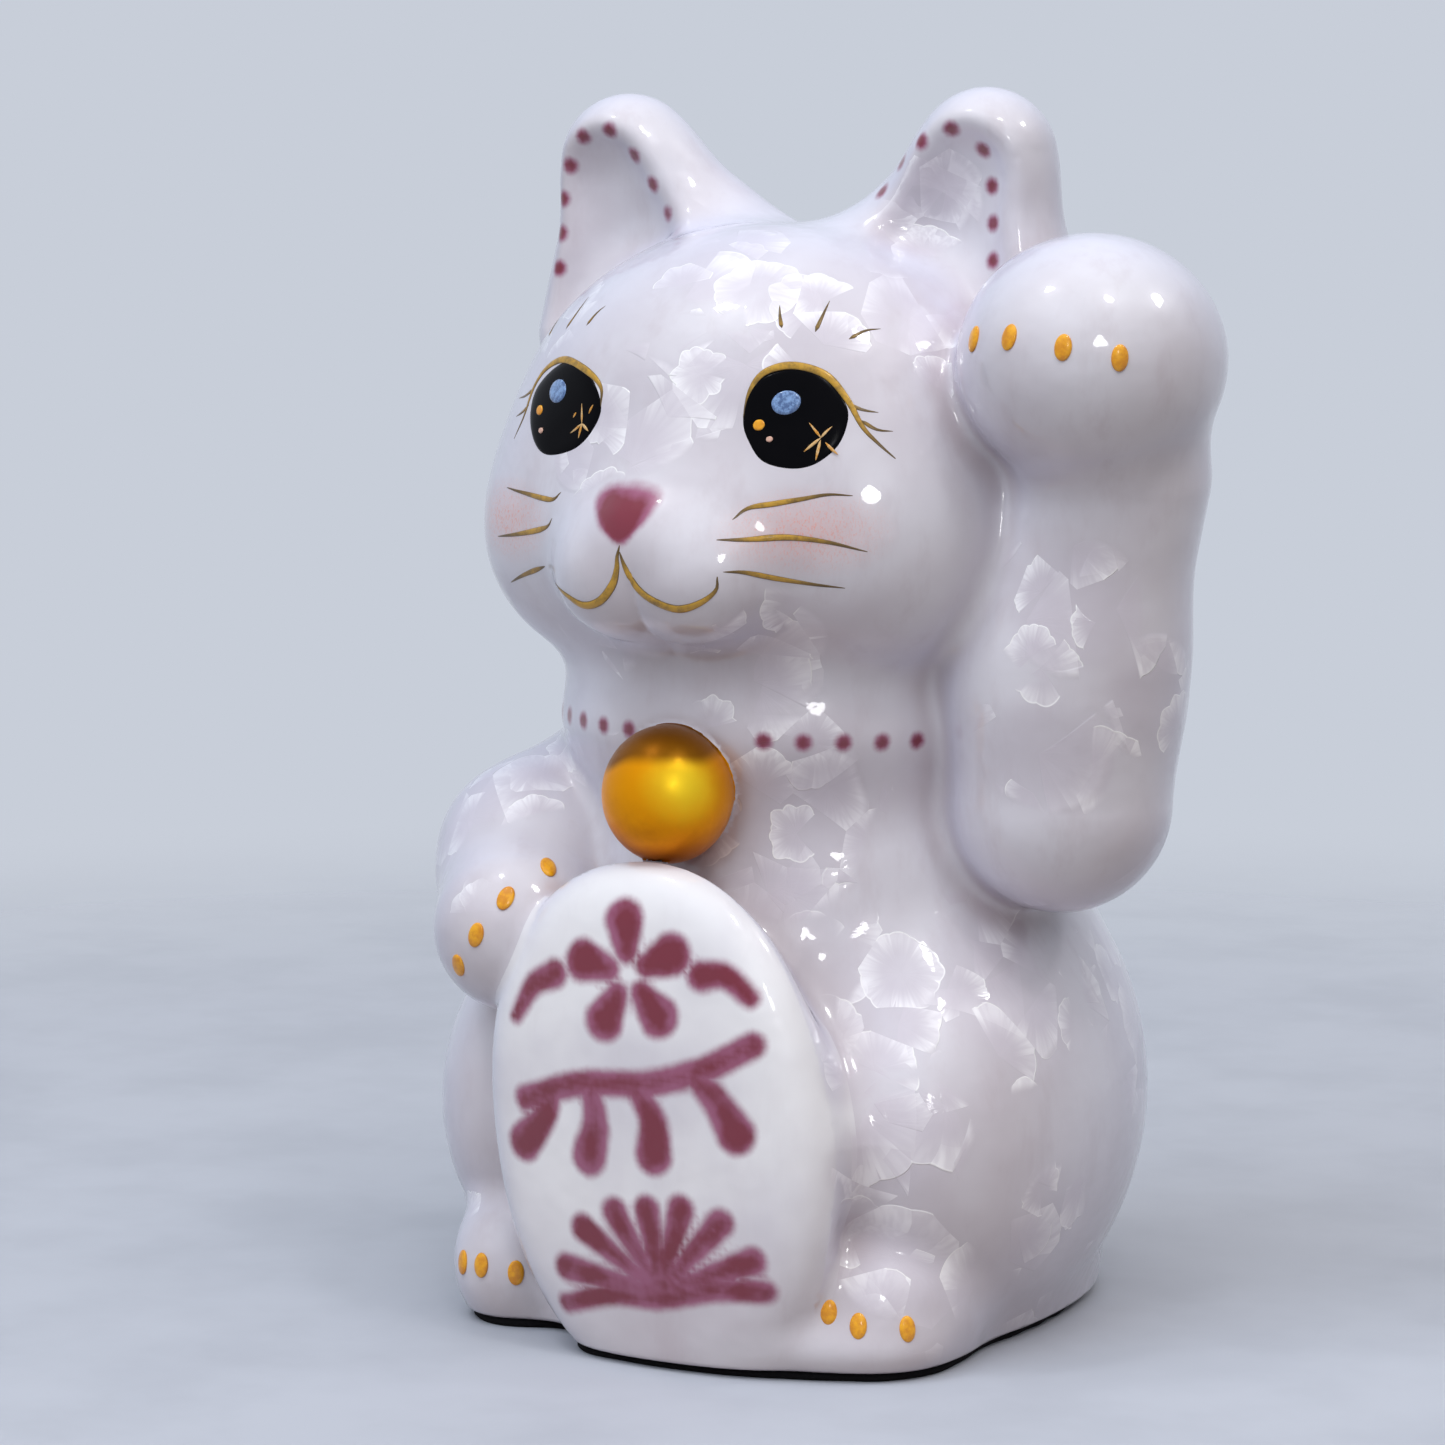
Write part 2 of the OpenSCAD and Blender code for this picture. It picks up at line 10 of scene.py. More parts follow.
import bpy
import numpy as np
import openvdb
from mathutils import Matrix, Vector

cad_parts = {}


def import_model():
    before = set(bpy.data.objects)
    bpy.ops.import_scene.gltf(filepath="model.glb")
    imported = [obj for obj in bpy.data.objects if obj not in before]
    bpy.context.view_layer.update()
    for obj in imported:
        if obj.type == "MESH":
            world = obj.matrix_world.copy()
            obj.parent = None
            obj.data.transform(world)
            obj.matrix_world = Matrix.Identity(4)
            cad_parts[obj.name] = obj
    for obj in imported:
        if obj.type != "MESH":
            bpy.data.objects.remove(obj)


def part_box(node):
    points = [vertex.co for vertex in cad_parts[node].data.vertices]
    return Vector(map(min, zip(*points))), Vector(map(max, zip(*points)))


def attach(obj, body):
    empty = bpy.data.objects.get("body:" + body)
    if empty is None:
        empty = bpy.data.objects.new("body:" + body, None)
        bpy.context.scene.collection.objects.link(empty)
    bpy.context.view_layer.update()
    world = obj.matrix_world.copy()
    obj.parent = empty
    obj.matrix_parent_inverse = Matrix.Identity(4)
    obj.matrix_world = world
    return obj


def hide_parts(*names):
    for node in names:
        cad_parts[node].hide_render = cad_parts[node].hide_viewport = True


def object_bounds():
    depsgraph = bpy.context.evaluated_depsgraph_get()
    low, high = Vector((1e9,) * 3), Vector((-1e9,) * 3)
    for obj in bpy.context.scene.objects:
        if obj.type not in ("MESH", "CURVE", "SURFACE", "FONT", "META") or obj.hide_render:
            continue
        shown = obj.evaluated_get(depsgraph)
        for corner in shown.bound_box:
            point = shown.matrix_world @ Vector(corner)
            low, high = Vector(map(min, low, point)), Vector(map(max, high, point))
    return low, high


MM = 0.001
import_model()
cad_low, cad_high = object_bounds()


def corners(node):
    """Lowest and highest corner of a CAD node, in millimetres."""
    return [np.array(corner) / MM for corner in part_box(node)]


# ---- Places from the frame -----------------------------------------------------------------

# The glaze sags a little over the felt, which is pressed thinner by it
GLAZE_SAG = 0.3

FELT_TOP = corners("felt_pad")[1][2] - GLAZE_SAG
SEAT = corners("closing_plate")[1][2]
NECK = corners("body_casting")[1][2]
CROWN = corners("head_casting")[1][2]
PLAQUE_TOP = corners("plaque")[1][2]
bell_low, bell_high = corners("bell")
BELL_WIDTH = bell_high[0] - bell_low[0]
BELL_HEIGHT = bell_high[2] - bell_low[2]
BELL_CENTRE = (0, bell_low[1] + BELL_WIDTH / 2, (bell_low[2] + bell_high[2]) / 2)

# ---- Forms ---------------------------------------------------------------------------------

# What a form gives where it has no say
FAR = 90.0

# Width over which each form runs into the one that carries it
FILLET = {
    "chest": 16, "collar": 6, "haunch": 6, "foot": 2.5, "cheek": 8, "muzzle": 9, "whisker_pad": 6,
    "nose": 4, "nape": 5, "ear": 7, "ear_flank": 6, "dish_flank": 5, "dish_edge": 2, "forearm": 8,
    "paw": 3.5, "lowered_forearm": 4, "neck": 4, "arm": 3, "plaque_edge": 4, "plate_edge": 1.5,
    "skirt": 4, "plate": 3, "tail": 3, "bell": 0.5, "sole": 0.6,
}


def blend(a, b, k):
    """Both forms as one, rounded over about k where they meet."""
    h = np.maximum(k - np.abs(a - b), 0) / k
    return np.minimum(a, b) - h * h * k / 4


def carve(a, b, k):
    """Form a with form b cut out of it, rounded over about k."""
    return -blend(-a, b, k)


def turned(p, c, degrees):
    """Points p seen from axes turned about the upright through c."""
    s, k = math.sin(math.radians(degrees)), math.cos(math.radians(degrees))
    q = p - np.float32(c)
    return np.stack([q[:, 0] * k + q[:, 1] * s, q[:, 1] * k - q[:, 0] * s, q[:, 2]], 1) + np.float32(c)


def ball(p, c, widths):
    """Ellipsoid about c."""
    half = np.float32(widths) / 2
    q = (p - np.float32(c)) / half
    a = np.sqrt((q * q).sum(1))
    q /= half
    return a * (a - 1) / np.maximum(np.sqrt((q * q).sum(1)), 1e-6)


def along(p, a, b):
    """Share of the way from a to b at which each point p lies."""
    return np.clip((p - a) @ (b - a) / ((b - a) @ (b - a)), 0, 1)


def rod(p, a, b, thick_a, thick_b):
    """Rod from a to b with round ends."""
    a, b = np.float32(a), np.float32(b)
    h = along(p, a, b)
    return np.linalg.norm(p - a - h[:, None] * (b - a), axis=1) - (thick_a + (thick_b - thick_a) * h) / 2


def paired(p):
    """Points folded onto the cat's left side, for forms that come in pairs."""
    return np.abs(p) * np.float32([1, 0, 0]) + p * np.float32([0, 1, 1])


def torso(p):
    belly = ball(p, (0, 8, SEAT + 20.8), (76, 74, 74))
    chest = ball(p, (0, 1, NECK - 20.5), (50, 48, 44))
    collar = ball(p, (0, -3.5, NECK - 7), (51, 48, 26))
    return blend(blend(belly, chest, FILLET["chest"]), collar, FILLET["collar"])


# Degrees by which the haunches and the feet turn outwards
HAUNCH_TURN = 14
FOOT_TURN = 4


def haunch(p):
    c = (20.5, -1, SEAT + 19.8)
    return ball(turned(paired(p), c, HAUNCH_TURN), c, (36, 54, 50))


def foot(p):
    c = (22.8, -16.5, SEAT + 2.3)
    return ball(turned(paired(p), c, FOOT_TURN), c, (19.6, 28.4, 22))


def tail(p):
    return rod(p, (0, 42, SEAT + 7.8), (0, 42, SEAT + 15.8), 14, 12)


def head(p):
    q = paired(p)
    skull = ball(p, (0, -6, CROWN - 26), (62, 49, 52))
    cheek = ball(q, (15, -10.5, CROWN - 35.5), (34, 34, 30))
    muzzle = ball(p, (0, -26, CROWN - 36), (24, 18, 18))
    whisker_pad = ball(q, (4.7, -31.3, CROWN - 38.9), (12, 9.2, 10.4))
    nose = ball(p, (0, -32.6, CROWN - 34.2), (8.4, 6, 6.4))
    nape = ball(p, (0, -3.5, NECK + 1), (46, 44, 24))
    face = blend(blend(skull, cheek, FILLET["cheek"]), muzzle, FILLET["muzzle"])
    face = blend(blend(face, whisker_pad, FILLET["whisker_pad"]), nose, FILLET["nose"])
    return blend(face, nape, FILLET["nape"])


def ear(p):
    q = paired(p)
    tip, dish_tip = (23.3, 2, CROWN + 7), (23.6, -8.8, CROWN + 4.4)
    outer = rod(q, (25.3, 3.5, CROWN - 12.5), tip, 19.6, 13)
    inner = rod(q, (8.5, 6, CROWN - 8.5), tip, 19, 13)
    dish_outer = rod(q, (24.4, -10.5, CROWN - 15.5), dish_tip, 18.4, 12.6)
    dish_inner = rod(q, (12.8, -8, CROWN - 8.5), dish_tip, 16.4, 12.6)
    dish = blend(dish_outer, dish_inner, FILLET["dish_flank"])
    return carve(blend(outer, inner, FILLET["ear_flank"]), dish, FILLET["dish_edge"])


def raised_arm(p):
    upper = rod(p, (35.5, -3, NECK - 15), (36, -3, NECK - 0.5), 25, 23.6)
    fore = rod(p, (36, -3, NECK - 0.5), (42, -4, NECK + 21.5), 23.6, 21.6)
    paw = ball(p, (41.5, -8.5, NECK + 34), (29, 31, 27.6))
    return blend(blend(upper, fore, FILLET["forearm"]), paw, FILLET["paw"])


def lowered_arm(p):
    upper = rod(p, (-21.8, -3, NECK - 19.5), (-25.2, -15, NECK - 24.5), 23, 23)
    fore = rod(p, (-25.2, -15, NECK - 24.5), (-20.5, -27, NECK - 30.3), 22, 19.6)
    return blend(upper, fore, FILLET["lowered_forearm"])


PLAQUE_WIDTH = 42.4
PLAQUE_HEIGHT = 59.6
PLAQUE_TILT = math.radians(8)
PLAQUE_CENTRE = np.float32([1.4, -33, PLAQUE_TOP - 28.7])
PLAQUE_SIDE = np.float32([math.cos(PLAQUE_TILT), 0, math.sin(PLAQUE_TILT)])
PLAQUE_UP = np.float32([-math.sin(PLAQUE_TILT), 0, math.cos(PLAQUE_TILT)])
# Squareness of its oval, half its thickness at the rim, and the crown of its front and back
PLAQUE_SQUARE = 2.2
PLAQUE_RIM = 3
PLAQUE_CROWNS = (2.5, 6)
PLAQUE_SIDE_STEEP = 0.42
# Share of the crown by which the faces fall away beyond the rim
PLAQUE_FALL = -0.8


def plaque(p):
    q = p - PLAQUE_CENTRE
    x = np.abs(q @ PLAQUE_SIDE) / (PLAQUE_WIDTH / 2)
    z = np.abs(q @ PLAQUE_UP) / (PLAQUE_HEIGHT / 2)
    r = (x ** PLAQUE_SQUARE + z ** PLAQUE_SQUARE) ** (1 / PLAQUE_SQUARE)
    crown = np.where(q[:, 1] < 0, *PLAQUE_CROWNS)
    face = np.abs(q[:, 1]) - PLAQUE_RIM - crown * np.maximum(1 - r * r, PLAQUE_FALL)
    return carve((r - 1) * PLAQUE_WIDTH * PLAQUE_SIDE_STEEP, -face, FILLET["plaque_edge"])


def bell(p):
    return ball(p, BELL_CENTRE, (BELL_WIDTH, BELL_WIDTH, BELL_HEIGHT))


PLATE_HALF = (31.5, 34)
PLATE_Y = 4
PLATE_SQUARE = 2.6
# How far the plate reaches up and down into what it joins
PLATE_LAP = 0.5


def slab(p):
    """The closing plate, with the glaze rounding under at its foot."""
    x = np.abs(p[:, 0]) / PLATE_HALF[0]
    y = np.abs(p[:, 1] - PLATE_Y) / PLATE_HALF[1]
    side = ((x ** PLATE_SQUARE + y ** PLATE_SQUARE) ** (1 / PLATE_SQUARE) - 1) * PLATE_HALF[0]
    middle = (FELT_TOP + SEAT) / 2
    level = np.abs(p[:, 2] - middle) - (SEAT - FELT_TOP) / 2 - PLATE_LAP
    skirt = ball(p, (14, -23.5, SEAT - 1), (34, 21, 10))
    return blend(carve(side, -level, FILLET["plate_edge"]), skirt, FILLET["skirt"])


# The plaque stands clear of the leg on one side and melts into the belly on the other; its
# fillet is slighter at the feet
PLAQUE_EDGES = (-6, 14)
PLAQUE_FILLETS = (1.2, 9)
FILLET_RISE = (12, 26)
FILLET_SHARES = (0.55, 1)


def glazed(p):
    """The whole figure as it leaves the kiln."""
    body = blend(blend(torso(p), haunch(p), FILLET["haunch"]), foot(p), FILLET["foot"])
    face = blend(head(p), ear(p), FILLET["ear"])
    whole = blend(body, face, FILLET["neck"])
    whole = blend(blend(whole, raised_arm(p), FILLET["arm"]), lowered_arm(p), FILLET["arm"])
    fillet = np.interp(p[:, 0], PLAQUE_EDGES, PLAQUE_FILLETS)
    fillet *= np.interp(p[:, 2], FILLET_RISE, FILLET_SHARES)
    whole = blend(whole, plaque(p), fillet.astype(np.float32))
    whole = blend(blend(whole, slab(p), FILLET["plate"]), tail(p), FILLET["tail"])
    return carve(blend(whole, bell(p), FILLET["bell"]), p[:, 2] - FELT_TOP, FILLET["sole"])


# ---- From forms to meshes ------------------------------------------------------------------

# Size of a cell, cells to the side of a block, how many block sizes from the surface a block is
# still worked out cell by cell, and in how many runs, which saves memory
CELL = 0.65
BLOCK = 4
BAND = 1.6
RUNS = 8
# Wall of the shell under each glazed piece
SHELL = 1.2
# Closer to a cut than this, a point counts as lying on it
SNAP = 0.02


def field_values(form, low, cell, counts):
    """Values of form on a grid of blocks; blocks away from its surface hold one value each."""
    size = cell * BLOCK
    axes = [low[k] + (np.arange(counts[k]) + 0.5) * size for k in range(3)]
    middles = np.stack(np.meshgrid(*axes, indexing="ij"), -1).reshape(-1, 3).astype(np.float32)
    rough = form(middles)
    near = np.flatnonzero(np.abs(rough) < BAND * size)
    values = np.repeat(rough[:, None], BLOCK ** 3, 1)
    steps = (np.indices((BLOCK,) * 3).reshape(3, -1).T + 0.5) * cell - size / 2
    for part in np.array_split(near, RUNS):
        points = middles[part][:, None] + steps[None].astype(np.float32)
        values[part] = form(points.reshape(-1, 3)).reshape(len(part), -1)
    values = values.reshape(*counts, BLOCK, BLOCK, BLOCK).transpose(0, 3, 1, 4, 2, 5)
    return values.reshape([n * BLOCK for n in counts])


def slope(form, p, step=0.05):
    """Gradient of form at the points p."""
    ends = [form(p + e) - form(p - e) for e in np.eye(3, dtype=np.float32) * step]
    return np.stack(ends, 1) / (2 * step)


def unit(v):
    return v / np.linalg.norm(v, axis=-1, keepdims=True)


def settle(form, p, rounds=3):
    """Points p moved onto the surface of form."""
    for _ in range(rounds):
        g = slope(form, p)
        p = p - (form(p) / np.maximum((g * g).sum(1), 1e-6))[:, None] * g
    return p


def surface(form, low, high, cell):
    """Points and triangles of the surface of form, facing outwards."""
    low = np.float32(low)
    counts = [int(n) for n in np.ceil((np.float32(high) - low) / (cell * BLOCK))]
    grid = openvdb.FloatGrid()
    grid.copyFromArray(np.ascontiguousarray(field_values(form, low, cell, counts)))
    points, quads = grid.convertToQuads(0.0)
    points = settle(form, ((points + 0.5) * cell + low).astype(np.float32))
    triangles = np.concatenate([quads[:, [0, 1, 2]], quads[:, [0, 2, 3]]]).astype(np.int64)
    a, b, c = (points[triangles[:, k]] for k in range(3))
    if (a * np.cross(b, c)).sum() < 0:
        triangles = triangles[:, ::-1]
    return points, triangles


def cut(points, triangles, side):
    """Cuts triangles where side changes sign. Gives all points, those below zero, and the rest."""
    side = np.where(np.abs(side) < SNAP, 0, side)
    sign = np.sign(side).astype(int)[triangles]
    below, above = (sign <= 0).all(1), (sign >= 0).all(1) & (sign != 0).any(1)
    crossing = ~below & ~above
    tri, sign = triangles[crossing], sign[crossing]
    # Turn each triangle so that its corner on zero, or else its lone corner, comes first
    on_zero = (sign == 0).any(1)
    lone = np.where(on_zero[:, None], sign == 0, sign == -np.sign(sign.sum(1))[:, None]).argmax(1)
    order = (lone[:, None] + np.arange(3)) % 3
    tri = np.take_along_axis(tri, order, 1)
    sign = np.take_along_axis(sign, order, 1)
    edges = np.concatenate([tri[on_zero][:, 1:], tri[~on_zero][:, [0, 1]], tri[~on_zero][:, [0, 2]]])
    keys, which = np.unique(np.sort(edges, 1), axis=0, return_inverse=True)
    a, b = keys.T
    t = (side[a] / (side[a] - side[b]))[:, None]
    fresh = len(points) + which.reshape(-1)
    points = np.concatenate([points, (points[a] * (1 - t) + points[b] * t).astype(np.float32)])
    n, m = on_zero.sum(), (~on_zero).sum()
    mid, p, q = fresh[:n], fresh[n:n + m], fresh[n + m:]
    z, w = tri[on_zero], tri[~on_zero]
    bits = [
        (np.stack([z[:, 0], z[:, 1], mid], 1), sign[on_zero][:, 1]),
        (np.stack([z[:, 0], mid, z[:, 2]], 1), sign[on_zero][:, 2]),
        (np.stack([w[:, 0], p, q], 1), sign[~on_zero][:, 0]),
        (np.stack([p, w[:, 1], w[:, 2]], 1), sign[~on_zero][:, 1]),
        (np.stack([p, w[:, 2], q], 1), sign[~on_zero][:, 1]),
    ]
    inside = [triangles[below]] + [t[s < 0] for t, s in bits]
    outside = [triangles[above]] + [t[s > 0] for t, s in bits]
    return points, np.concatenate(inside), np.concatenate(outside)


def add_fields(mesh, fields):
    """Stores one number or one vector for each point under each name."""
    for key, values in fields.items():
        kind, store = ("FLOAT", "value") if values.ndim == 1 else ("FLOAT_VECTOR", "vector")
        mesh.attributes.new(key, kind, "POINT").data.foreach_set(store, values.astype(np.float32).ravel())


def linked(name, data):
    """New object for the data, in the scene."""
    made = bpy.data.objects.new(name, data)
    bpy.context.scene.collection.objects.link(made)
    return made


def make_mesh(name, points, faces, material, normals=None, fields=None):
    """A mesh object in the root body from points in millimetres."""
    mesh = bpy.data.meshes.new(name)
    mesh.vertices.add(len(points))
    mesh.vertices.foreach_set("co", (np.asarray(points, np.float32) * MM).ravel())
    faces = np.asarray(faces)
    mesh.loops.add(faces.size)
    mesh.loops.foreach_set("vertex_index", faces.astype(np.int32).ravel())
    mesh.polygons.add(len(faces))
    mesh.polygons.foreach_set("loop_start", np.arange(len(faces), dtype=np.int32) * faces.shape[1])
    mesh.update(calc_edges=True)
    mesh.polygons.foreach_set("use_smooth", np.ones(len(faces), bool))
    add_fields(mesh, fields or {})
    if normals is not None:
        mesh.normals_split_custom_set_from_vertices(normals)
    mesh.materials.append(material)
    return linked(name, mesh)


def closed(name, outer, inner, triangles, material, normals=None, fields=None):
    """Closed mesh between an open patch, its twin below it, and a strip round its rim."""
    n = len(outer)
    edges = np.concatenate([triangles[:, [0, 1]], triangles[:, [1, 2]], triangles[:, [2, 0]]])
    codes, back = edges[:, 0] * n + edges[:, 1], edges[:, 1] * n + edges[:, 0]
    a, b = edges[~np.isin(codes, back)].T
    rim = np.concatenate([np.stack([b, a, a + n], 1), np.stack([b, a + n, b + n], 1)])
    faces = np.concatenate([triangles, triangles[:, ::-1] + n, rim])
    return make_mesh(name, np.concatenate([outer, inner]), faces, material, normals, fields)


def shell(name, points, triangles, material, fields):
    """Closed shell of wall SHELL under a patch of the glazed surface."""
    used, triangles = np.unique(triangles, return_inverse=True)
    outer = points[used]
    normals = unit(slope(glazed, outer))
    values = {key: np.concatenate([field(outer)] * 2) for key, field in fields.items()}
    both = np.concatenate([normals, -normals])
    return closed(name, outer, outer - SHELL * normals, triangles.reshape(-1, 3), material, both, values)


# ---- Paint on the surface ------------------------------------------------------------------

# Steps of a trace, and the share of the distance to the surface that each one goes
TRACE_STEPS = 90
TRACE_SHARE = 0.75
# In front of the whole figure
FRONT_Y = -60


def trace(form, start, way):
    """Points where lines from start along way first meet the surface of form."""
    start, way = np.float32(start), unit(np.float32(way))
    t = np.zeros(len(start), np.float32)
    for _ in range(TRACE_STEPS):
        t = np.minimum(t + TRACE_SHARE * form(start + t[:, None] * way), FAR)
    return settle(form, start + t[:, None] * way, 1)


def from_front(form, spots):
    """Surface points of form seen from the front at each (x, z)."""
    spots = np.float32(spots)
    start = np.stack([spots[:, 0], np.full(len(spots), FRONT_Y, np.float32), spots[:, 1]], 1)
    return trace(form, start, np.tile(np.float32([0, 1, 0]), (len(spots), 1)))


CURVE_STEPS = 24


def smooth(points, count, ring=False):
    """Catmull-Rom curve through the points, sampled at even steps of its length."""
    p = np.float32(points)
    ends = [p[-1:], p[:2]] if ring else [2 * p[:1] - p[1:2], 2 * p[-1:] - p[-2:-1]]
    p = np.concatenate([ends[0], p, ends[1]])
    t = np.linspace(0, 1, CURVE_STEPS, endpoint=False)[:, None]
    runs = []
    for a, b, c, d in zip(p[:-3], p[1:-2], p[2:-1], p[3:]):
        runs.append(b + t / 2 * (c - a + t * (2 * a - 5 * b + 4 * c - d + t * (3 * b - a - 3 * c + d))))
    line = np.concatenate(runs + [p[1:2] if ring else p[-2:-1]])
    walked = np.concatenate([[0], np.cumsum(np.linalg.norm(np.diff(line, axis=0), axis=1))])
    at = np.linspace(0, walked[-1], count, endpoint=not ring)
    even = [np.interp(at, walked, line[:, k]) for k in range(line.shape[1])]
    return np.stack(even, 1).astype(np.float32)


# Dots run along the rim of each ear's dish, given as (x, z), and round the collar
EAR_DOTS = 9
LEFT_EAR_RIM = [
    (10.8, 125), (11.9, 128.4), (14, 131.6), (18.2, 134.5), (22.7, 135.6), (25.4, 132.4), (26.4, 121.2),
]
RIGHT_EAR_RIM = [
    (-29.7, 120.2), (-29.5, 128.4), (-28.2, 132.4), (-25.4, 135.8), (-21.3, 135.3), (-15, 126.5),
]
COLLAR_Z = NECK - 7.3
COLLAR_Y = -3.5
# How much lower the ring of dots runs on the cat's left, and the degrees that the bell covers
COLLAR_DROP = 0.75
COLLAR_GAP = (25, -15)
COLLAR_DOTS = 32
DOT_RADIUS = 1.15
# Far enough out to start a trace back to the neck
OUTSIDE = 40
# Distance to paint beyond which there is none
NO_PAINT = 9


def dot_middles():
    """Middles of all the underglaze dots."""
    ears = [from_front(ear, smooth(rim, EAR_DOTS)) for rim in (LEFT_EAR_RIM, RIGHT_EAR_RIM)]
    turns = np.radians(np.linspace(COLLAR_GAP[0], COLLAR_GAP[1] + 360, COLLAR_DOTS))
    out = np.stack([np.sin(turns), -np.cos(turns), np.zeros_like(turns)], 1)
    middle = np.float32([0, COLLAR_Y, COLLAR_Z]) - np.float32([0, 0, COLLAR_DROP]) * out[:, :1]
    return np.concatenate(ears + [trace(torso, middle + OUTSIDE * out, -out)])


DOTS = dot_middles()


def dot_distance(p):
    """Distance to the middle of the nearest dot."""
    nearest = np.full(len(p), NO_PAINT, np.float32)
    for middle in DOTS:
        nearest = np.minimum(nearest, np.linalg.norm(p - middle, axis=1))
    return nearest


STROKE_POINTS = 14
# Farther than any point is from a stroke
AFAR = 1e6


def stroke(u, v, path, width_a, width_b):
    """Distance to a brush stroke on the plane (u, v), below zero inside it."""
    path = smooth(path, STROKE_POINTS) if len(path) > 2 else np.float32(path)
    widths = np.linspace(width_a, width_b, len(path))
    q = np.stack([u, v], 1)
    away = np.full(len(q), AFAR, np.float32)
    for a, b, wa, wb in zip(path[:-1], path[1:], widths[:-1], widths[1:]):
        away = np.minimum(away, rod(q, a, b, wa, wb))
    return away


NOSE = [
    (-6.4, 95.6), (-5.2, 97), (-2.6, 97.5), (0.4, 97.3), (2.6, 96.1),
    (2.1, 94), (0.6, 92), (-1.2, 90.7), (-3.6, 91.9), (-5.6, 93.9),
]
NOSE_POINTS = 60
NOSE_NEAR = 12
NOSE_BACK = -25
# Heights between which the brush had more and less colour, and how strong it is there
NOSE_LOAD_Z = (92, 97)
NOSE_LOAD = (1.8, 0.5)


def nose_ink(p):
    """Distance to the painted nose, a rounded triangle that points down."""
    outline = smooth(NOSE, NOSE_POINTS, ring=True)
    middle = outline.mean(0)
    q = p[:, [0, 2]]
    near = (np.abs(q - middle).max(1) < NOSE_NEAR) & (p[:, 1] < NOSE_BACK)
    ink = np.full(len(p), NO_PAINT, np.float32)
    q = q[near]
    inside = np.zeros(len(q), bool)
    away = np.full(len(q), FAR, np.float32)
    for a, b in zip(outline, np.roll(outline, -1, 0)):
        away = np.minimum(away, rod(q, a, b, 0, 0))
        across = (b[0] - a[0]) * (q[:, 1] - a[1]) / (b[1] - a[1] if b[1] != a[1] else 1) + a[0]
        inside ^= ((a[1] > q[:, 1]) != (b[1] > q[:, 1])) & (q[:, 0] < across)
    load = np.interp(q[:, 1], NOSE_LOAD_Z, NOSE_LOAD)
    ink[near] = np.where(inside, -away * load, away)
    return ink


# Three motifs stand one over the other on the plaque: a plum blossom between two leaves, a bough
# with hanging leaves, and a spread of pine needles on a twig. Each stroke is a path on the
# plaque's face, its width at the start and its width at the end
PETALS = 5
PETAL_RING = (2.6, 5.8)
PETAL_WIDTHS = (3.4, 5.4)
BLOSSOM = (1.2, 17.8)
LEAVES_AND_BOUGH = [
    ([(-14.4, 14), (-11.6, 17.2), (-8.4, 18.4)], 2.2, 3.8),
    ([(10.2, 17), (13, 16.8), (15.6, 14.2)], 3.8, 2.4),
    ([(-14.2, 4.8), (-6, 6.2), (2, 5.8), (9, 6.8), (15.4, 9.2)], 3.4, 3.4),
    ([(-10, 5.2), (-12, 2.4), (-15, 0)], 2.8, 5.0),
    ([(-5, 5.6), (-4.8, 1.8), (-6.2, -1.8)], 2.8, 5.0),
    ([(0.8, 5.6), (2.6, 1.8), (2.2, -2)], 2.8, 5.0),
    ([(8, 6.6), (10.6, 3.4), (12.4, -0.2)], 2.8, 5.0),
]
PINE = (0.4, -17.2)
# Length of each needle by its degrees from upright
NEEDLES = {-76: 12.2, -50: 11.4, -25: 10, 0: 9.2, 25: 10, 50: 11.4, 76: 12.2}
NEEDLE_WIDTHS = (2.0, 3.8)
TWIG = ([(-12.4, -18.4), (-6, -17.4), (0.4, -18), (7, -17.2), (13, -17.6)], 2.8, 3.2)


def plaque_art(p):
    """Distance to the brushwork on the plaque's face."""
    q = p - PLAQUE_CENTRE
    u, v = q @ PLAQUE_SIDE, q @ PLAQUE_UP
    marks = [*LEAVES_AND_BOUGH, TWIG]
    for turn in np.arange(PETALS) * math.tau / PETALS:
        way = np.float32([math.sin(turn), math.cos(turn)])
        marks.append(([way * reach + BLOSSOM for reach in PETAL_RING], *PETAL_WIDTHS))
    for degrees, reach in NEEDLES.items():
        way = np.float32([math.sin(math.radians(degrees)), math.cos(math.radians(degrees))])
        marks.append(([PINE, PINE + way * reach], *NEEDLE_WIDTHS))
    ink = np.minimum.reduce([stroke(u, v, *mark) for mark in marks])
    return np.where(q[:, 1] < 0, ink, FAR)


# Middles (x, z) and half size of the blush, how far its full core reaches, and how far back it goes
BLUSH = [(17.4, CROWN - 33.2), (-22.5, CROWN - 33.2)]
BLUSH_HALF = (7.2, 4.2)
BLUSH_CORE = 1.25
BLUSH_BACK = -15


def blush(p):
    """Share of pink on the cheeks, between the whiskers."""
    share = np.zeros(len(p))
    for x, z in BLUSH:
        r = np.hypot((p[:, 0] - x) / BLUSH_HALF[0], (p[:, 2] - z) / BLUSH_HALF[1])
        share = np.maximum(share, np.clip(BLUSH_CORE - r, 0, 1))
    return np.where(p[:, 1] < BLUSH_BACK, share, 0)


# How far out a point looks for other glaze around it
POOL_AND_SHADE_REACH = 3.0


def pool_and_crease_shade(p):
    """How deep a point lies in a crease, where glaze pools and shade is painted: 0 on a swelling, towards 1
    in a hollow.
    """
    return np.clip(1 - glazed(p + POOL_AND_SHADE_REACH * unit(slope(glazed, p))) / POOL_AND_SHADE_REACH, 0, 1)


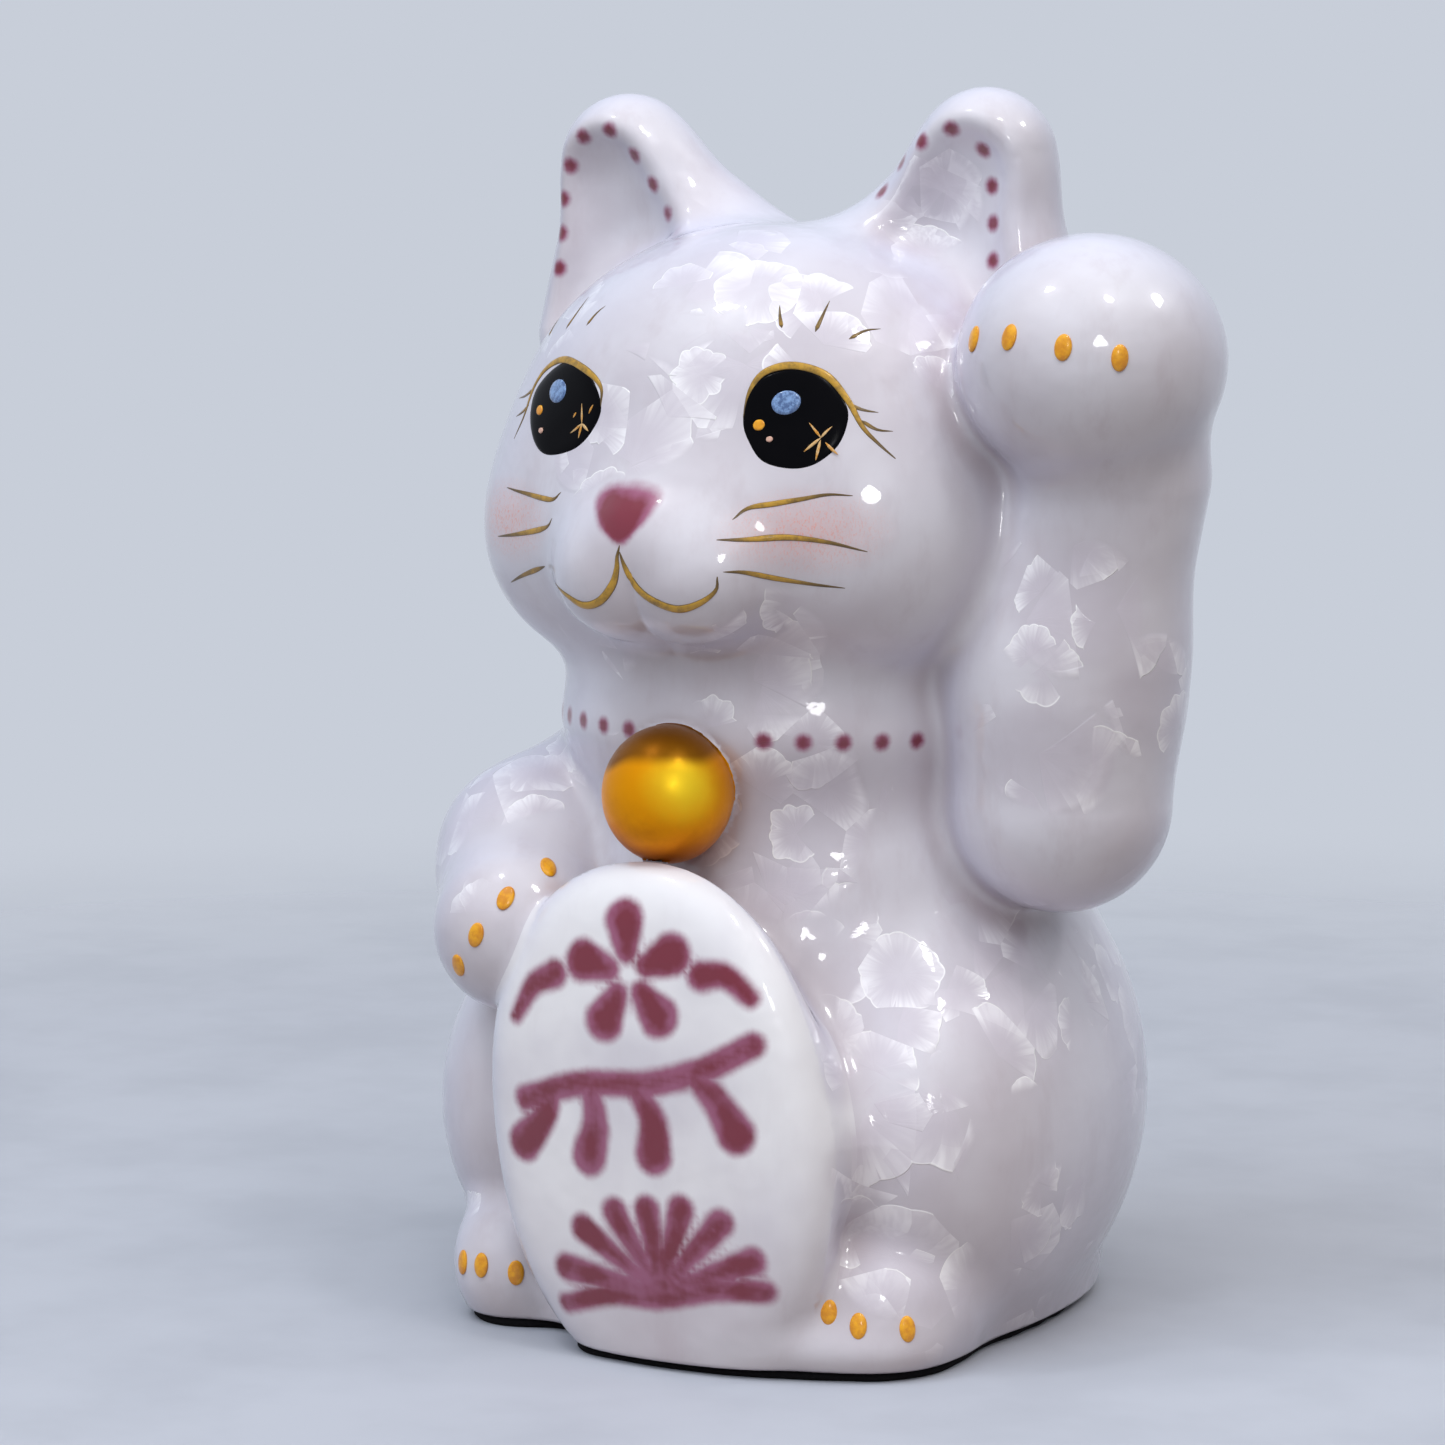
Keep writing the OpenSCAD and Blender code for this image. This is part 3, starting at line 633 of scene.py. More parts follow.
# Where crystals bloom in the glaze: middle and reach of each bed
BEDS = [
    # Face, brow and ears
    ((-3, -30, 105), 9), ((6, -28, 108), 8), ((14, -22, 116), 9), ((2, -20, 121), 10), ((28, -12, 112), 8),
    ((-20, -18, 118), 9), ((-10, -30, 101), 7), ((-16, 10, 128), 8), ((18, -4, 128), 8),
    ((-10, -24, 82), 10), ((10, -26, 80), 10),
    # Chest, belly, haunches and feet
    ((12, -24, 60), 14), ((-8, -24, 62), 9), ((20, -26, 70), 8), ((32, -13, 42), 13), ((24, -24, 50), 10),
    ((26, -24, 40), 8), ((27, -24, 26), 9), ((25, -22, 12), 10), ((-26, -20, 12), 8), ((34, -8, 16), 9),
    # Along the plaque's edge
    ((20, -30, 52), 6), ((22.5, -30, 44), 6), ((24, -30, 34), 6), ((23.5, -30, 24), 6),
    # Arms and raised paw
    ((42, -14, 84), 10), ((39, -14, 68), 10), ((50, -8, 74), 9), ((40, 4, 110), 9),
    ((-27, -18, 62), 13), ((-30, -22, 52), 9),
    # Sides and back
    ((36, 14, 34), 15), ((-36, -2, 30), 14), ((-2, 44, 40), 14), ((18, 30, 66), 13), ((-22, 26, 58), 12),
    ((0, 18, 108), 13), ((-24, 6, 100), 10), ((22, 10, 96), 10),
]


def bloom(p):
    """Nearness to a bed of crystals, 1 in its middle and 0 at its reach."""
    nearest = np.zeros(len(p), np.float32)
    for middle, reach in BEDS:
        nearest = np.maximum(nearest, 1 - np.linalg.norm(p - np.float32(middle), axis=1) / reach)
    return nearest


# ---- Materials -----------------------------------------------------------------------------


def ink_colour(*srgb):
    """Linear colour from the red, green and blue, 0 to 255, by which a painter names it."""
    return [((c / 255 + 0.055) / 1.055) ** 2.4 if c > 10 else c / 255 / 12.92 for c in srgb] + [1]


def add_node(tree, kind, inputs=(), **settings):
    """New node in tree; inputs maps socket names or numbers to values or sockets."""
    made = tree.nodes.new(kind)
    for key, value in settings.items():
        setattr(made, key, value)
    for key, value in dict(inputs).items():
        if isinstance(value, bpy.types.NodeSocket):
            tree.links.new(value, made.inputs[key])
        else:
            made.inputs[key].default_value = value
    return made


def add(tree, kind, inputs=(), **settings):
    """First output of a new node in tree."""
    return add_node(tree, kind, inputs, **settings).outputs[0]


class Finish:
    """A node material, with short calls for the nodes that it is built from."""

    def __init__(self, name, roughness=0.5, coat=0.0, coat_roughness=0.03, metallic=0.0, specular=0.5):
        self.material = bpy.data.materials.new(name)
        self.material.use_nodes = True
        self.tree = self.material.node_tree
        self.shader = self.tree.nodes["Principled BSDF"]
        fixed = {
            "Roughness": roughness, "Coat Weight": coat, "Coat Roughness": coat_roughness,
            "Metallic": metallic, "Specular IOR Level": specular,
        }
        for key, value in fixed.items():
            self.shader.inputs[key].default_value = value

    def node(self, kind, inputs=(), **settings):
        return add_node(self.tree, kind, inputs, **settings)

    def math(self, operation, *values):
        return self.node("ShaderNodeMath", enumerate(values), operation=operation).outputs[0]

    def times(self, *values):
        """Product of all the values."""
        product = values[0]
        for value in values[1:]:
            product = self.math("MULTIPLY", product, value)
        return product

    def vector(self, operation, *values):
        inputs = {("Scale" if operation == "SCALE" and n == 1 else n): v for n, v in enumerate(values)}
        made = self.node("ShaderNodeVectorMath", inputs, operation=operation)
        return made.outputs["Value" if operation in ("LENGTH", "DISTANCE", "DOT_PRODUCT") else "Vector"]

    def ramp(self, value, low, high, a=0.0, b=1.0):
        """Smooth step of value from a at low to b at high."""
        inputs = {"Value": value, "From Min": low, "From Max": high, "To Min": a, "To Max": b}
        return self.node("ShaderNodeMapRange", inputs, interpolation_type="SMOOTHSTEP").outputs[0]

    def mix(self, share, a, b):
        """Colour a with share of colour b over it."""
        return self.node("ShaderNodeMix", {0: share, 6: a, 7: b}, data_type="RGBA").outputs[2]

    def place(self):
        """Object coordinates in millimetres."""
        return self.vector("SCALE", self.node("ShaderNodeTexCoord").outputs["Object"], 1 / MM)

    def noise(self, at, per_mm, detail=2.0, roughness=0.5):
        inputs = {"Vector": at, "Scale": per_mm, "Detail": detail, "Roughness": roughness}
        return self.node("ShaderNodeTexNoise", inputs).outputs["Fac"]

    def swing(self, at, grain, size):
        """Noise that swings about 0, over size in all."""
        return self.times(self.math("SUBTRACT", self.noise(at, *grain), 0.5), size)

    def height(self, at):
        return self.node("ShaderNodeSeparateXYZ", {0: at}).outputs[2]

    def channels(self, colour):
        return self.node("ShaderNodeSeparateColor", {"Color": colour}).outputs

    def field(self, name):
        return self.node("ShaderNodeAttribute", attribute_name=name).outputs["Fac"]

    def bump(self, height, millimetres, strength=1.0, under=None):
        inputs = {"Height": height, "Distance": millimetres * MM, "Strength": strength}
        if under is not None:
            inputs["Normal"] = under
        return self.node("ShaderNodeBump", inputs).outputs[0]

    def set(self, key, value):
        self.tree.links.new(value, self.shader.inputs[key])


WHITE_GLAZE = ink_colour(219, 216, 225)
LILAC_GLAZE = ink_colour(204, 197, 206)
# Bluish tint of the painted sheen, where the glaze turns away from view
PAINTED_SHEEN = ink_colour(204, 212, 248)
DRIFTED_GLAZE = ink_colour(192, 180, 188)
WHITE_PLAQUE = ink_colour(240, 239, 244)
BED_GLAZE = ink_colour(198, 191, 202)
FAN_FACE = ink_colour(208, 200, 212)
FAN_OPEN = ink_colour(252, 250, 255)
FAN_RIM = ink_colour(255, 254, 255)
# Colour of pooled glaze, darkened and warmed for shade in creases and under the arms: partly pooled glaze,
# partly painted shade
POOLED_GLAZE_AND_SHADE = ink_colour(168, 148, 150)
INK_WASH = ink_colour(152, 80, 114)
INK_CORE = ink_colour(116, 4, 38)
PINK_SPECK = ink_colour(228, 160, 148)

# Grains: waves to the millimetre, detail, roughness
CLOUD_GRAIN = (0.05, 3.0)
DRIFT_GRAIN = (0.2, 4.0, 0.65)
BLEED_GRAIN = (0.5, 3.0, 0.6)
LOAD_GRAIN = (0.16, 3.0, 0.6)
SPECK_GRAIN = (5.2, 3.0, 0.7)
RIPPLE_GRAIN = (0.2, 2.0)
BED_GRAIN = (0.8, 2.0)
# Steps: where each starts and ends, and what it gives there where that isn't 0 and 1
CLOUD_STEP = (0.35, 0.7)
DRIFT_STEP = (0.48, 0.72, 0.0, 0.3)
BED_STEP = (0.15, 0.6, 0.0, 0.55)
PAINTED_SHEEN_STEP = (0.2, 0.9, 0.0, 0.34)
POOL_AND_SHADE_STEP = (0.2, 0.95, 0.0, 0.5)
SPECK_STEP = (0.52, 0.62)
INK_STEP = (0.5, -0.8)
INK_CORE_STEP = (-0.1, -1.7)
DOT_STEP = (DOT_RADIUS + 0.3, DOT_RADIUS - 0.6)
DOT_CORE_STEP = (1.0, 0.3)
# The plaque's white passes into the glaze of the feet between these heights
PLAQUE_STEP = (corners("plaque")[0][2] + 16, corners("plaque")[0][2] + 1)
# How much longer than wide the drifts and the specks of blush run
DRIFT_RUN = (1.0, 1.0, 0.35)
SPECK_RUN = (1.0, 1.0, 0.5)
# How far the edge of the ink wanders, and how much its load of colour varies, in millimetres
INK_BLEED = 0.5
INK_LOAD = 5.0
# The dots' edge wanders by this share of the ink's
DOT_BLEED = 0.5
# Share of blush that is even, and share that is in specks
BLUSH_EVEN = 0.3
BLUSH_SPECKS = 0.6

# Layers of crystal fans: size of a cell in millimetres, and how far its seeds are moved
FAN_LAYERS = {13.0: 0, 8.5: 31}
# How clouds, beds and a fan's own luck weigh in its chance, and the chances between which it grows
CLOUD_WEIGHT = 0.9
BED_WEIGHT = 1.3
LUCK_WEIGHT = 0.4
GROWING = (0.88, 1.0)
# Reach of a fan in cells, depth and closeness of its lobes and pleats, the cosine of the corner
# that it fills, where its face opens, and its rim in millimetres
FAN_REACH = (0.46, 0.82)
LOBE_DEPTH = 0.15
LOBES = 1.9
LOBE_SPREAD = 0.8
LOBE_SHARES = (0.35, 1.0)
PLEATS = 9.0
PLEAT_STEP = (0.3, 0.65, 0.6, 1.0)
FAN_CORNER = (-0.75, 0.45)
FAN_OPENING = (0.35, 1.0, 0.05, 1.0)
RIM_STEP = (0.26, 0.1)
FAN_SHARPNESS = 0.012
CORNER_SHARPNESS = 0.03
# How far apart the lobes of two fans are drawn from
LOBE_SHIFT = 7.0
# How strongly face, open part and rim colour a fan, and how high pleats and rim stand on it
FAN_SHARES = (0.45, 0.95, 0.8)
RIDGE = 0.1
FAN_RELIEF = 0.3
FAN_STRENGTH = 0.42
RIPPLE_RELIEF = 0.3
RIPPLE_STRENGTH = 0.6
GLAZE_ROUGHNESS = 0.3
BED_DULLNESS = 0.4


def fan_layer(finish, at, normal, size, shift):
    """One layer of scalloped crystal fans: where they lie, their face, rim and slant, and their luck."""
    at = finish.vector("SCALE", finish.vector("ADD", at, (shift, shift, shift)), 1 / size)
    cell = finish.node("ShaderNodeTexVoronoi", {"Vector": at, "Scale": 1.0, "Randomness": 1.0}).outputs
    own = cell["Color"]
    away = finish.vector("SUBTRACT", at, cell["Position"])
    out = finish.vector("DOT_PRODUCT", away, normal)
    flat = finish.vector("SUBTRACT", away, finish.vector("SCALE", normal, out))
    far = finish.vector("LENGTH", flat)
    ray = finish.vector("NORMALIZE", flat)
    luck = finish.channels(own)
    lean = finish.vector("NORMALIZE", finish.vector("SUBTRACT", own, (0.5, 0.5, 0.5)))
    fanned = finish.vector("ADD", ray, finish.vector("SCALE", own, LOBE_SHIFT))
    inputs = {"Vector": fanned, "Scale": LOBES, "Randomness": LOBE_SPREAD}
    lobe = finish.node("ShaderNodeTexVoronoi", inputs).outputs
    lobe_share = finish.ramp(finish.channels(lobe["Color"])[0], 0.0, 1.0, *LOBE_SHARES)
    pleats = finish.noise(fanned, PLEATS, 1.0)
    reach = finish.ramp(luck[0], 0.0, 1.0, *FAN_REACH)
    reach = finish.math("SUBTRACT", reach, finish.times(lobe["Distance"], LOBE_DEPTH))
    inner = finish.math("SUBTRACT", reach, far)
    corner = finish.ramp(luck[1], 0.0, 1.0, *FAN_CORNER)
    within = finish.math("SUBTRACT", finish.vector("DOT_PRODUCT", ray, lean), corner)
    whole = finish.times(finish.ramp(inner, 0.0, FAN_SHARPNESS), finish.ramp(within, 0.0, CORNER_SHARPNESS))
    opened = finish.ramp(finish.math("DIVIDE", far, reach), *FAN_OPENING)
    face = finish.times(whole, opened, finish.ramp(pleats, *PLEAT_STEP), lobe_share)
    rim = finish.times(whole, finish.ramp(inner, *(width / size for width in RIM_STEP)))
    slant = finish.math("ADD", finish.vector("DOT_PRODUCT", flat, lean), finish.times(pleats, RIDGE))
    return whole, face, rim, finish.times(whole, slant), luck[2]


def add_fans(finish, at, colour, likely, crystal):
    """Lays the fans over the colour. Gives the new colour and the relief of the fans."""
    normal = finish.node("ShaderNodeNewGeometry").outputs["Normal"]
    relief = 0.0
    for size, shift in FAN_LAYERS.items():
        whole, face, rim, slant, luck = fan_layer(finish, at, normal, size, shift)
        chance = finish.math("ADD", likely, finish.times(luck, LUCK_WEIGHT))
        here = finish.ramp(chance, *(limit - crystal for limit in GROWING))
        for part, share, tint in zip((whole, face, rim), FAN_SHARES, (FAN_FACE, FAN_OPEN, FAN_RIM)):
            colour = finish.mix(finish.times(here, part, share), colour, tint)
        raised = finish.times(here, finish.math("ADD", slant, finish.times(rim, RIDGE)))
        relief = finish.math("ADD", raised, relief)
    return colour, relief


def add_paint(finish, at, colour):
    """Lays ink, dots and blush over the colour."""
    bleed = finish.swing(at, BLEED_GRAIN, INK_BLEED)
    away = finish.math("ADD", finish.field("ink"), bleed)
    loaded = finish.math("ADD", away, finish.swing(at, LOAD_GRAIN, INK_LOAD))
    ink = finish.mix(finish.ramp(loaded, *INK_CORE_STEP), INK_WASH, INK_CORE)
    colour = finish.mix(finish.ramp(away, *INK_STEP), colour, ink)
    away = finish.math("ADD", finish.field("dot"), finish.times(bleed, DOT_BLEED))
    dot = finish.mix(finish.ramp(away, *DOT_CORE_STEP), INK_WASH, INK_CORE)
    colour = finish.mix(finish.ramp(away, *DOT_STEP), colour, dot)
    speck = finish.ramp(finish.noise(finish.vector("MULTIPLY", at, SPECK_RUN), *SPECK_GRAIN), *SPECK_STEP)
    flush = finish.math("ADD", finish.times(speck, BLUSH_SPECKS), BLUSH_EVEN)
    return finish.mix(finish.times(finish.field("blush"), flush), colour, PINK_SPECK)


def glaze_finish(name, crystal, white, shaded, drifted):
    """Crystalline glaze over porcelain with a painted pearly sheen, with the underglaze paint that it
    covers and painted shade where glaze pools.

    crystal raises the share of the surface that the fans take; white and shaded are its clouds,
    and drifted is the strength of its running streaks."""
    finish = Finish(name, coat=1.0, coat_roughness=0.025)
    at = finish.place()
    cloud = finish.noise(at, *CLOUD_GRAIN)
    bloomed = finish.field("bloom")
    low = finish.ramp(finish.height(at), *PLAQUE_STEP)
    white, shaded = finish.mix(low, white, WHITE_GLAZE), finish.mix(low, shaded, LILAC_GLAZE)
    colour = finish.mix(finish.ramp(cloud, *CLOUD_STEP), white, shaded)
    drift = finish.ramp(finish.noise(finish.vector("MULTIPLY", at, DRIFT_RUN), *DRIFT_GRAIN), *DRIFT_STEP)
    colour = finish.mix(finish.times(drift, finish.math("MAXIMUM", low, drifted)), colour, DRIFTED_GLAZE)
    bed = finish.ramp(bloomed, *BED_STEP)
    colour = finish.mix(bed, colour, BED_GLAZE)
    likely = finish.math("ADD", finish.times(cloud, CLOUD_WEIGHT), finish.times(bloomed, BED_WEIGHT))
    colour, relief = add_fans(finish, at, colour, likely, crystal)
    # Painted sheen: bluish towards where the surface turns away from view
    sheen_facing = finish.node("ShaderNodeLayerWeight", {"Blend": 0.5}).outputs["Facing"]
    colour = finish.mix(finish.ramp(sheen_facing, *PAINTED_SHEEN_STEP), colour, PAINTED_SHEEN)
    # Painted shade in creases and hollows, together with the colour of pooled glaze
    colour = finish.mix(finish.ramp(finish.field("pool_and_crease_shade"), *POOL_AND_SHADE_STEP), colour, POOLED_GLAZE_AND_SHADE)
    finish.set("Base Color", add_paint(finish, at, colour))
    ripple = finish.bump(finish.noise(at, *RIPPLE_GRAIN), RIPPLE_RELIEF, RIPPLE_STRENGTH)
    facets = finish.bump(relief, FAN_RELIEF, FAN_STRENGTH, ripple)
    finish.set("Normal", facets)
    finish.set("Coat Normal", facets)
    dull = finish.times(bed, finish.noise(at, *BED_GRAIN), BED_DULLNESS)
    finish.set("Roughness", finish.math("ADD", GLAZE_ROUGHNESS, dull))
    return finish.material


# Lustre colours: painted shade low on the bell, the gold, a painted highlight, and worn gold darkened as
# painted shadow of the head
LUSTRE_PAINTED_SHADE = ink_colour(200, 114, 0)
LUSTRE_GOLD = ink_colour(246, 160, 0)
LUSTRE_PAINTED_HIGHLIGHT = ink_colour(255, 212, 40)
LUSTRE_WORN_AND_SHADOWED = ink_colour(124, 72, 0)
# Middle of the painted highlight on the gold, and how far from it the highlight is gone and full
HIGHLIGHT_MIDDLE = (5.4, bell_low[1] + 1.8, bell_low[2] + 9.8)
HIGHLIGHT_STEP = (6.0, 0.5)
# Height from which the gold is worn and darkened as painted shadow of the head, how much that height
# wanders, and how soft it is
BELL_CAP = bell_high[2] - 6.8
CAP_WAVE = 5.0
CAP_SOFT = (-0.8, 0.7)
CAP_SHARE = 0.9
WANDER_GRAIN = (0.3, 4.0, 0.65)
WANDER_SIZE = 5.0
SATIN_GRAIN = (1.4, 4.0, 0.7)
SATIN_STEP = (0.3, 0.75, 0.34, 0.46)


def gold_lustre():
    """Satin gold lustre: a painted highlight on its front, painted shade towards the bottom, olive brown in
    a cap on top that is worn gold and painted shadow of the head.
    """
    finish = Finish("gold_lustre", metallic=0.75, specular=0.3)
    at = finish.place()
    height = finish.height(at)
    lustre_wander = finish.swing(at, WANDER_GRAIN, WANDER_SIZE)
    # Painted shade: the gold darker towards the bottom of the bell, its edge wandering
    level = finish.ramp(finish.math("ADD", height, lustre_wander), bell_low[2] + 1, BELL_CAP)
    colour = finish.mix(level, LUSTRE_PAINTED_SHADE, LUSTRE_GOLD)
    # Painted highlight on the front of the bell
    thick = finish.math("ADD", finish.vector("DISTANCE", at, HIGHLIGHT_MIDDLE), finish.times(lustre_wander, 0.4))
    colour = finish.mix(finish.ramp(thick, *HIGHLIGHT_STEP), colour, LUSTRE_PAINTED_HIGHLIGHT)
    wave = finish.times(finish.noise(finish.vector("MULTIPLY", at, (1, 1, 0.1)), 0.1, 1.0), CAP_WAVE)
    cap = finish.ramp(finish.math("SUBTRACT", height, wave), *(BELL_CAP + soft for soft in CAP_SOFT))
    # Cap on top: worn gold, darkened further as painted shadow of the head
    finish.set("Base Color", finish.mix(finish.times(cap, CAP_SHARE), colour, LUSTRE_WORN_AND_SHADOWED))
    finish.set("Roughness", finish.ramp(finish.noise(at, *SATIN_GRAIN), *SATIN_STEP))
    finish.set("Normal", finish.bump(finish.noise(at, 2.0, 2.0), 0.02, 0.3))
    return finish.material


def brown_gold():
    """The painter's gold line: mustard where it is thick, brown at its ends and along its edges."""
    finish = Finish("brown_gold", roughness=0.35, coat=0.4, coat_roughness=0.1, metallic=0.2)
    at = finish.place()
    normal = finish.node("ShaderNodeNewGeometry").outputs["Normal"]
    up = finish.node("ShaderNodeAttribute", attribute_name="up").outputs["Vector"]
    crest = finish.ramp(finish.vector("DOT_PRODUCT", normal, up), 0.55, 0.95)
    thick = finish.ramp(finish.field("half_width"), 0.15 * MM, 0.34 * MM)
    uneven = finish.ramp(finish.noise(at, 0.6, 4.0, 0.7), 0.3, 0.6, 0.25, 1.0)
    gold = finish.times(crest, thick, uneven)
    finish.set("Base Color", finish.mix(gold, ink_colour(96, 74, 34), ink_colour(196, 150, 44)))
    finish.set("Normal", finish.bump(finish.noise(at, 3.5, 3.0), 0.03, 0.5))
    return finish.material


def mottled(name, colours, grain, step=None, relief=None, bump=(0.02, 0.4), **kind):
    """Finish that wanders from one colour to the other by a grain, sharper by a step if one is given.

    relief is the grain of its bumps, where that is another one; bump is their height and strength."""
    finish = Finish(name, **kind)
    at = finish.place()
    spot = finish.noise(at, *grain)
    share = finish.ramp(spot, *step) if step else spot
    finish.set("Base Color", finish.mix(share, *(ink_colour(*colour) for colour in colours)))
    finish.set("Normal", finish.bump(finish.noise(at, *relief) if relief else spot, *bump))
    return finish.material


def gold_enamel():
    colours = ((242, 172, 6), (218, 140, 4))
    kind = {"roughness": 0.35, "coat": 0.6, "coat_roughness": 0.08}
    return mottled("gold_enamel", colours, (0.9, 3.0, 0.6), (0.35, 0.65), (3.0, 3.0), **kind)


def star_gold():
    """Fine gold on the eyes, pale and uneven."""
    colours = ((214, 176, 120), (206, 140, 40))
    kind = {"roughness": 0.35, "coat": 0.4, "coat_roughness": 0.1, "metallic": 0.2}
    return mottled("star_gold", colours, (1.5, 3.0, 0.6), (0.4, 0.6), **kind)


def black_enamel():
    colours = ((2, 2, 4), (6, 5, 8))
    return mottled("black_enamel", colours, (0.5, 2.0), None, (1.2, 2.0), roughness=0.2, specular=0.07)


def blue_enamel():
    """Pale blue enamel on the eye, mottled where the brush left it thin."""
    colours = ((126, 160, 208), (66, 94, 142))
    kind = {"roughness": 0.3, "coat": 0.8, "coat_roughness": 0.05}
    return mottled("blue_enamel", colours, (1.6, 4.0, 0.7), (0.38, 0.62), **kind)


def pink_enamel():
    colours = ((226, 190, 170), (190, 140, 124))
    kind = {"roughness": 0.35, "coat": 0.5, "coat_roughness": 0.08}
    return mottled("pink_enamel", colours, (2.0, 3.0), **kind)


def felt():
    colours = ((10, 10, 12), (34, 33, 36))
    return mottled("felt", colours, (2.4, 6.0, 0.8), bump=(0.25, 0.8), roughness=0.95, specular=0.1)


# ---- The glazed pieces ---------------------------------------------------------------------


def on_side(form, sign):
    """Form on the cat's left side only where sign is 1, on its right side only where it is -1."""
    return lambda p: np.where(p[:, 0] * sign > 0, form(p), FAR)


# Each piece is what lies nearer its own form than any other; the body is what is left
PIECES = {
    "bell": bell,
    "plaque": plaque,
    "raised_arm": raised_arm,
    "lowered_arm": lowered_arm,
    "ear_left": on_side(ear, 1),
    "ear_right": on_side(ear, -1),
    "head_casting": head,
    "foot_left": on_side(foot, 1),
    "foot_right": on_side(foot, -1),
    "bobtail": tail,
}
MARGIN = 3


def beyond(name):
    """Below zero where a point lies nearer the named piece than any other."""
    others = [form for key, form in PIECES.items() if key != name] + [torso, haunch]
    return lambda p: PIECES[name](p) - np.minimum.reduce([form(p) for form in others])


def seat(piece, slot, *nodes):
    """Puts the piece in the root body and hides the nodes that it stands for. slot, the name of its finish,
    is not used.
    """
    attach(piece, "root")
    if nodes:
        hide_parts(*nodes)


def glazed_pieces():
    glaze = glaze_finish("crystalline_glaze", 0.0, WHITE_GLAZE, LILAC_GLAZE, 1.0)
    smooth_glaze = glaze_finish("plaque_glaze", -0.2, WHITE_PLAQUE, WHITE_GLAZE, 0.25)
    painted = {"dot": dot_distance, "pool_and_crease_shade": pool_and_crease_shade, "blush": blush, "ink": nose_ink, "bloom": bloom}
    brushed = {"pool_and_crease_shade": pool_and_crease_shade, "ink": plaque_art, "dot": dot_distance, "bloom": bloom}
    low, high = (np.float32(corner) / MM for corner in (cad_low, cad_high))
    points, rest = surface(glazed, low - MARGIN, high + MARGIN, CELL)
    made = {}
    sides = {"closing_plate": lambda p: p[:, 2] - SEAT, **{name: beyond(name) for name in PIECES}}
    for name, side in sides.items():
        points, made[name], rest = cut(points, rest, side(points))
    made["body_casting"] = rest
    special = {
        "bell": (gold_lustre(), {}, "gold_lustre"),
        "plaque": (smooth_glaze, brushed, "plaque_glaze"),
    }
    for name, triangles in made.items():
        finish, fields, slot = special.get(name, (glaze, painted, "glaze"))
        seat(shell(f"glazed_{name}", points, triangles, finish, fields), slot, name)


# ---- Enamel over the glaze -----------------------------------------------------------------

LEFT_EYE = [
    (9.5, 104), (9.6, 106.9), (11, 108.9), (14, 109.8), (17.2, 108.9), (19.7, 106.1),
    (20.3, 103.9), (19.7, 101.3), (17.7, 99.4), (15.2, 98.9), (12.2, 99.7), (10.3, 102),
]
RIGHT_EYE = [
    (-20.6, 104.2), (-20.2, 107.3), (-15.8, 110), (-10.9, 108.8), (-8.2, 105.4),
    (-9.1, 102.5), (-11.6, 100.4), (-16, 99.6), (-18.7, 101),
]
# Height over the glaze of the rim and the middle of the eyes, and of the glints on them
EYE_LOW = -0.05
EYE_DOME = 0.2
GLINT_LOW = 0.1
GLINT_DOME = 0.32
# How flat the domes are before they fall to their rim, how their rings crowd there, and how deep
# they reach under their rim
DOME_FLATNESS = 12
RING_CROWDING = 0.7
UNDERSIDE = 0.4


def pillow(name, outline, low, high, material, sides=96, rings=10):
    """Domed patch of enamel in the outline (x, z): low over the glaze at its rim, high in its middle."""
    rim = smooth(outline, sides, ring=True)
    x, z = rim.T
    if (x * np.roll(z, -1) - z * np.roll(x, -1)).sum() < 0:
        rim = rim[::-1]
    middle = rim.mean(0)
    steps = np.linspace(0, 1, rings + 1)[1:] ** RING_CROWDING
    shares = np.concatenate([[0], np.repeat(steps, sides)]).astype(np.float32)
    across = np.concatenate([rim[:1] - middle] + [rim - middle] * rings)
    points = from_front(glazed, middle + across * shares[:, None])
    normals = unit(slope(glazed, points))
    rise = low + (high - low) * (1 - shares ** DOME_FLATNESS)
    hub = [(0, 1 + k, 1 + (k + 1) % sides) for k in range(sides)]
    for ring in range(rings - 1):
        for k in range(sides):
            a, b = 1 + ring * sides + k, 1 + ring * sides + (k + 1) % sides
            hub += [(a, a + sides, b + sides), (a, b + sides, b)]
    outer, inner = points + rise[:, None] * normals, points + (low - UNDERSIDE) * normals
    return closed(name, outer, inner, np.array(hub), material)


def oval(x, z, wide, high, count):
    """Outline of an upright oval."""
    turns = np.linspace(0, math.tau, count, endpoint=False)
    return [(x + wide / 2 * math.cos(t), z + high / 2 * math.sin(t)) for t in turns]


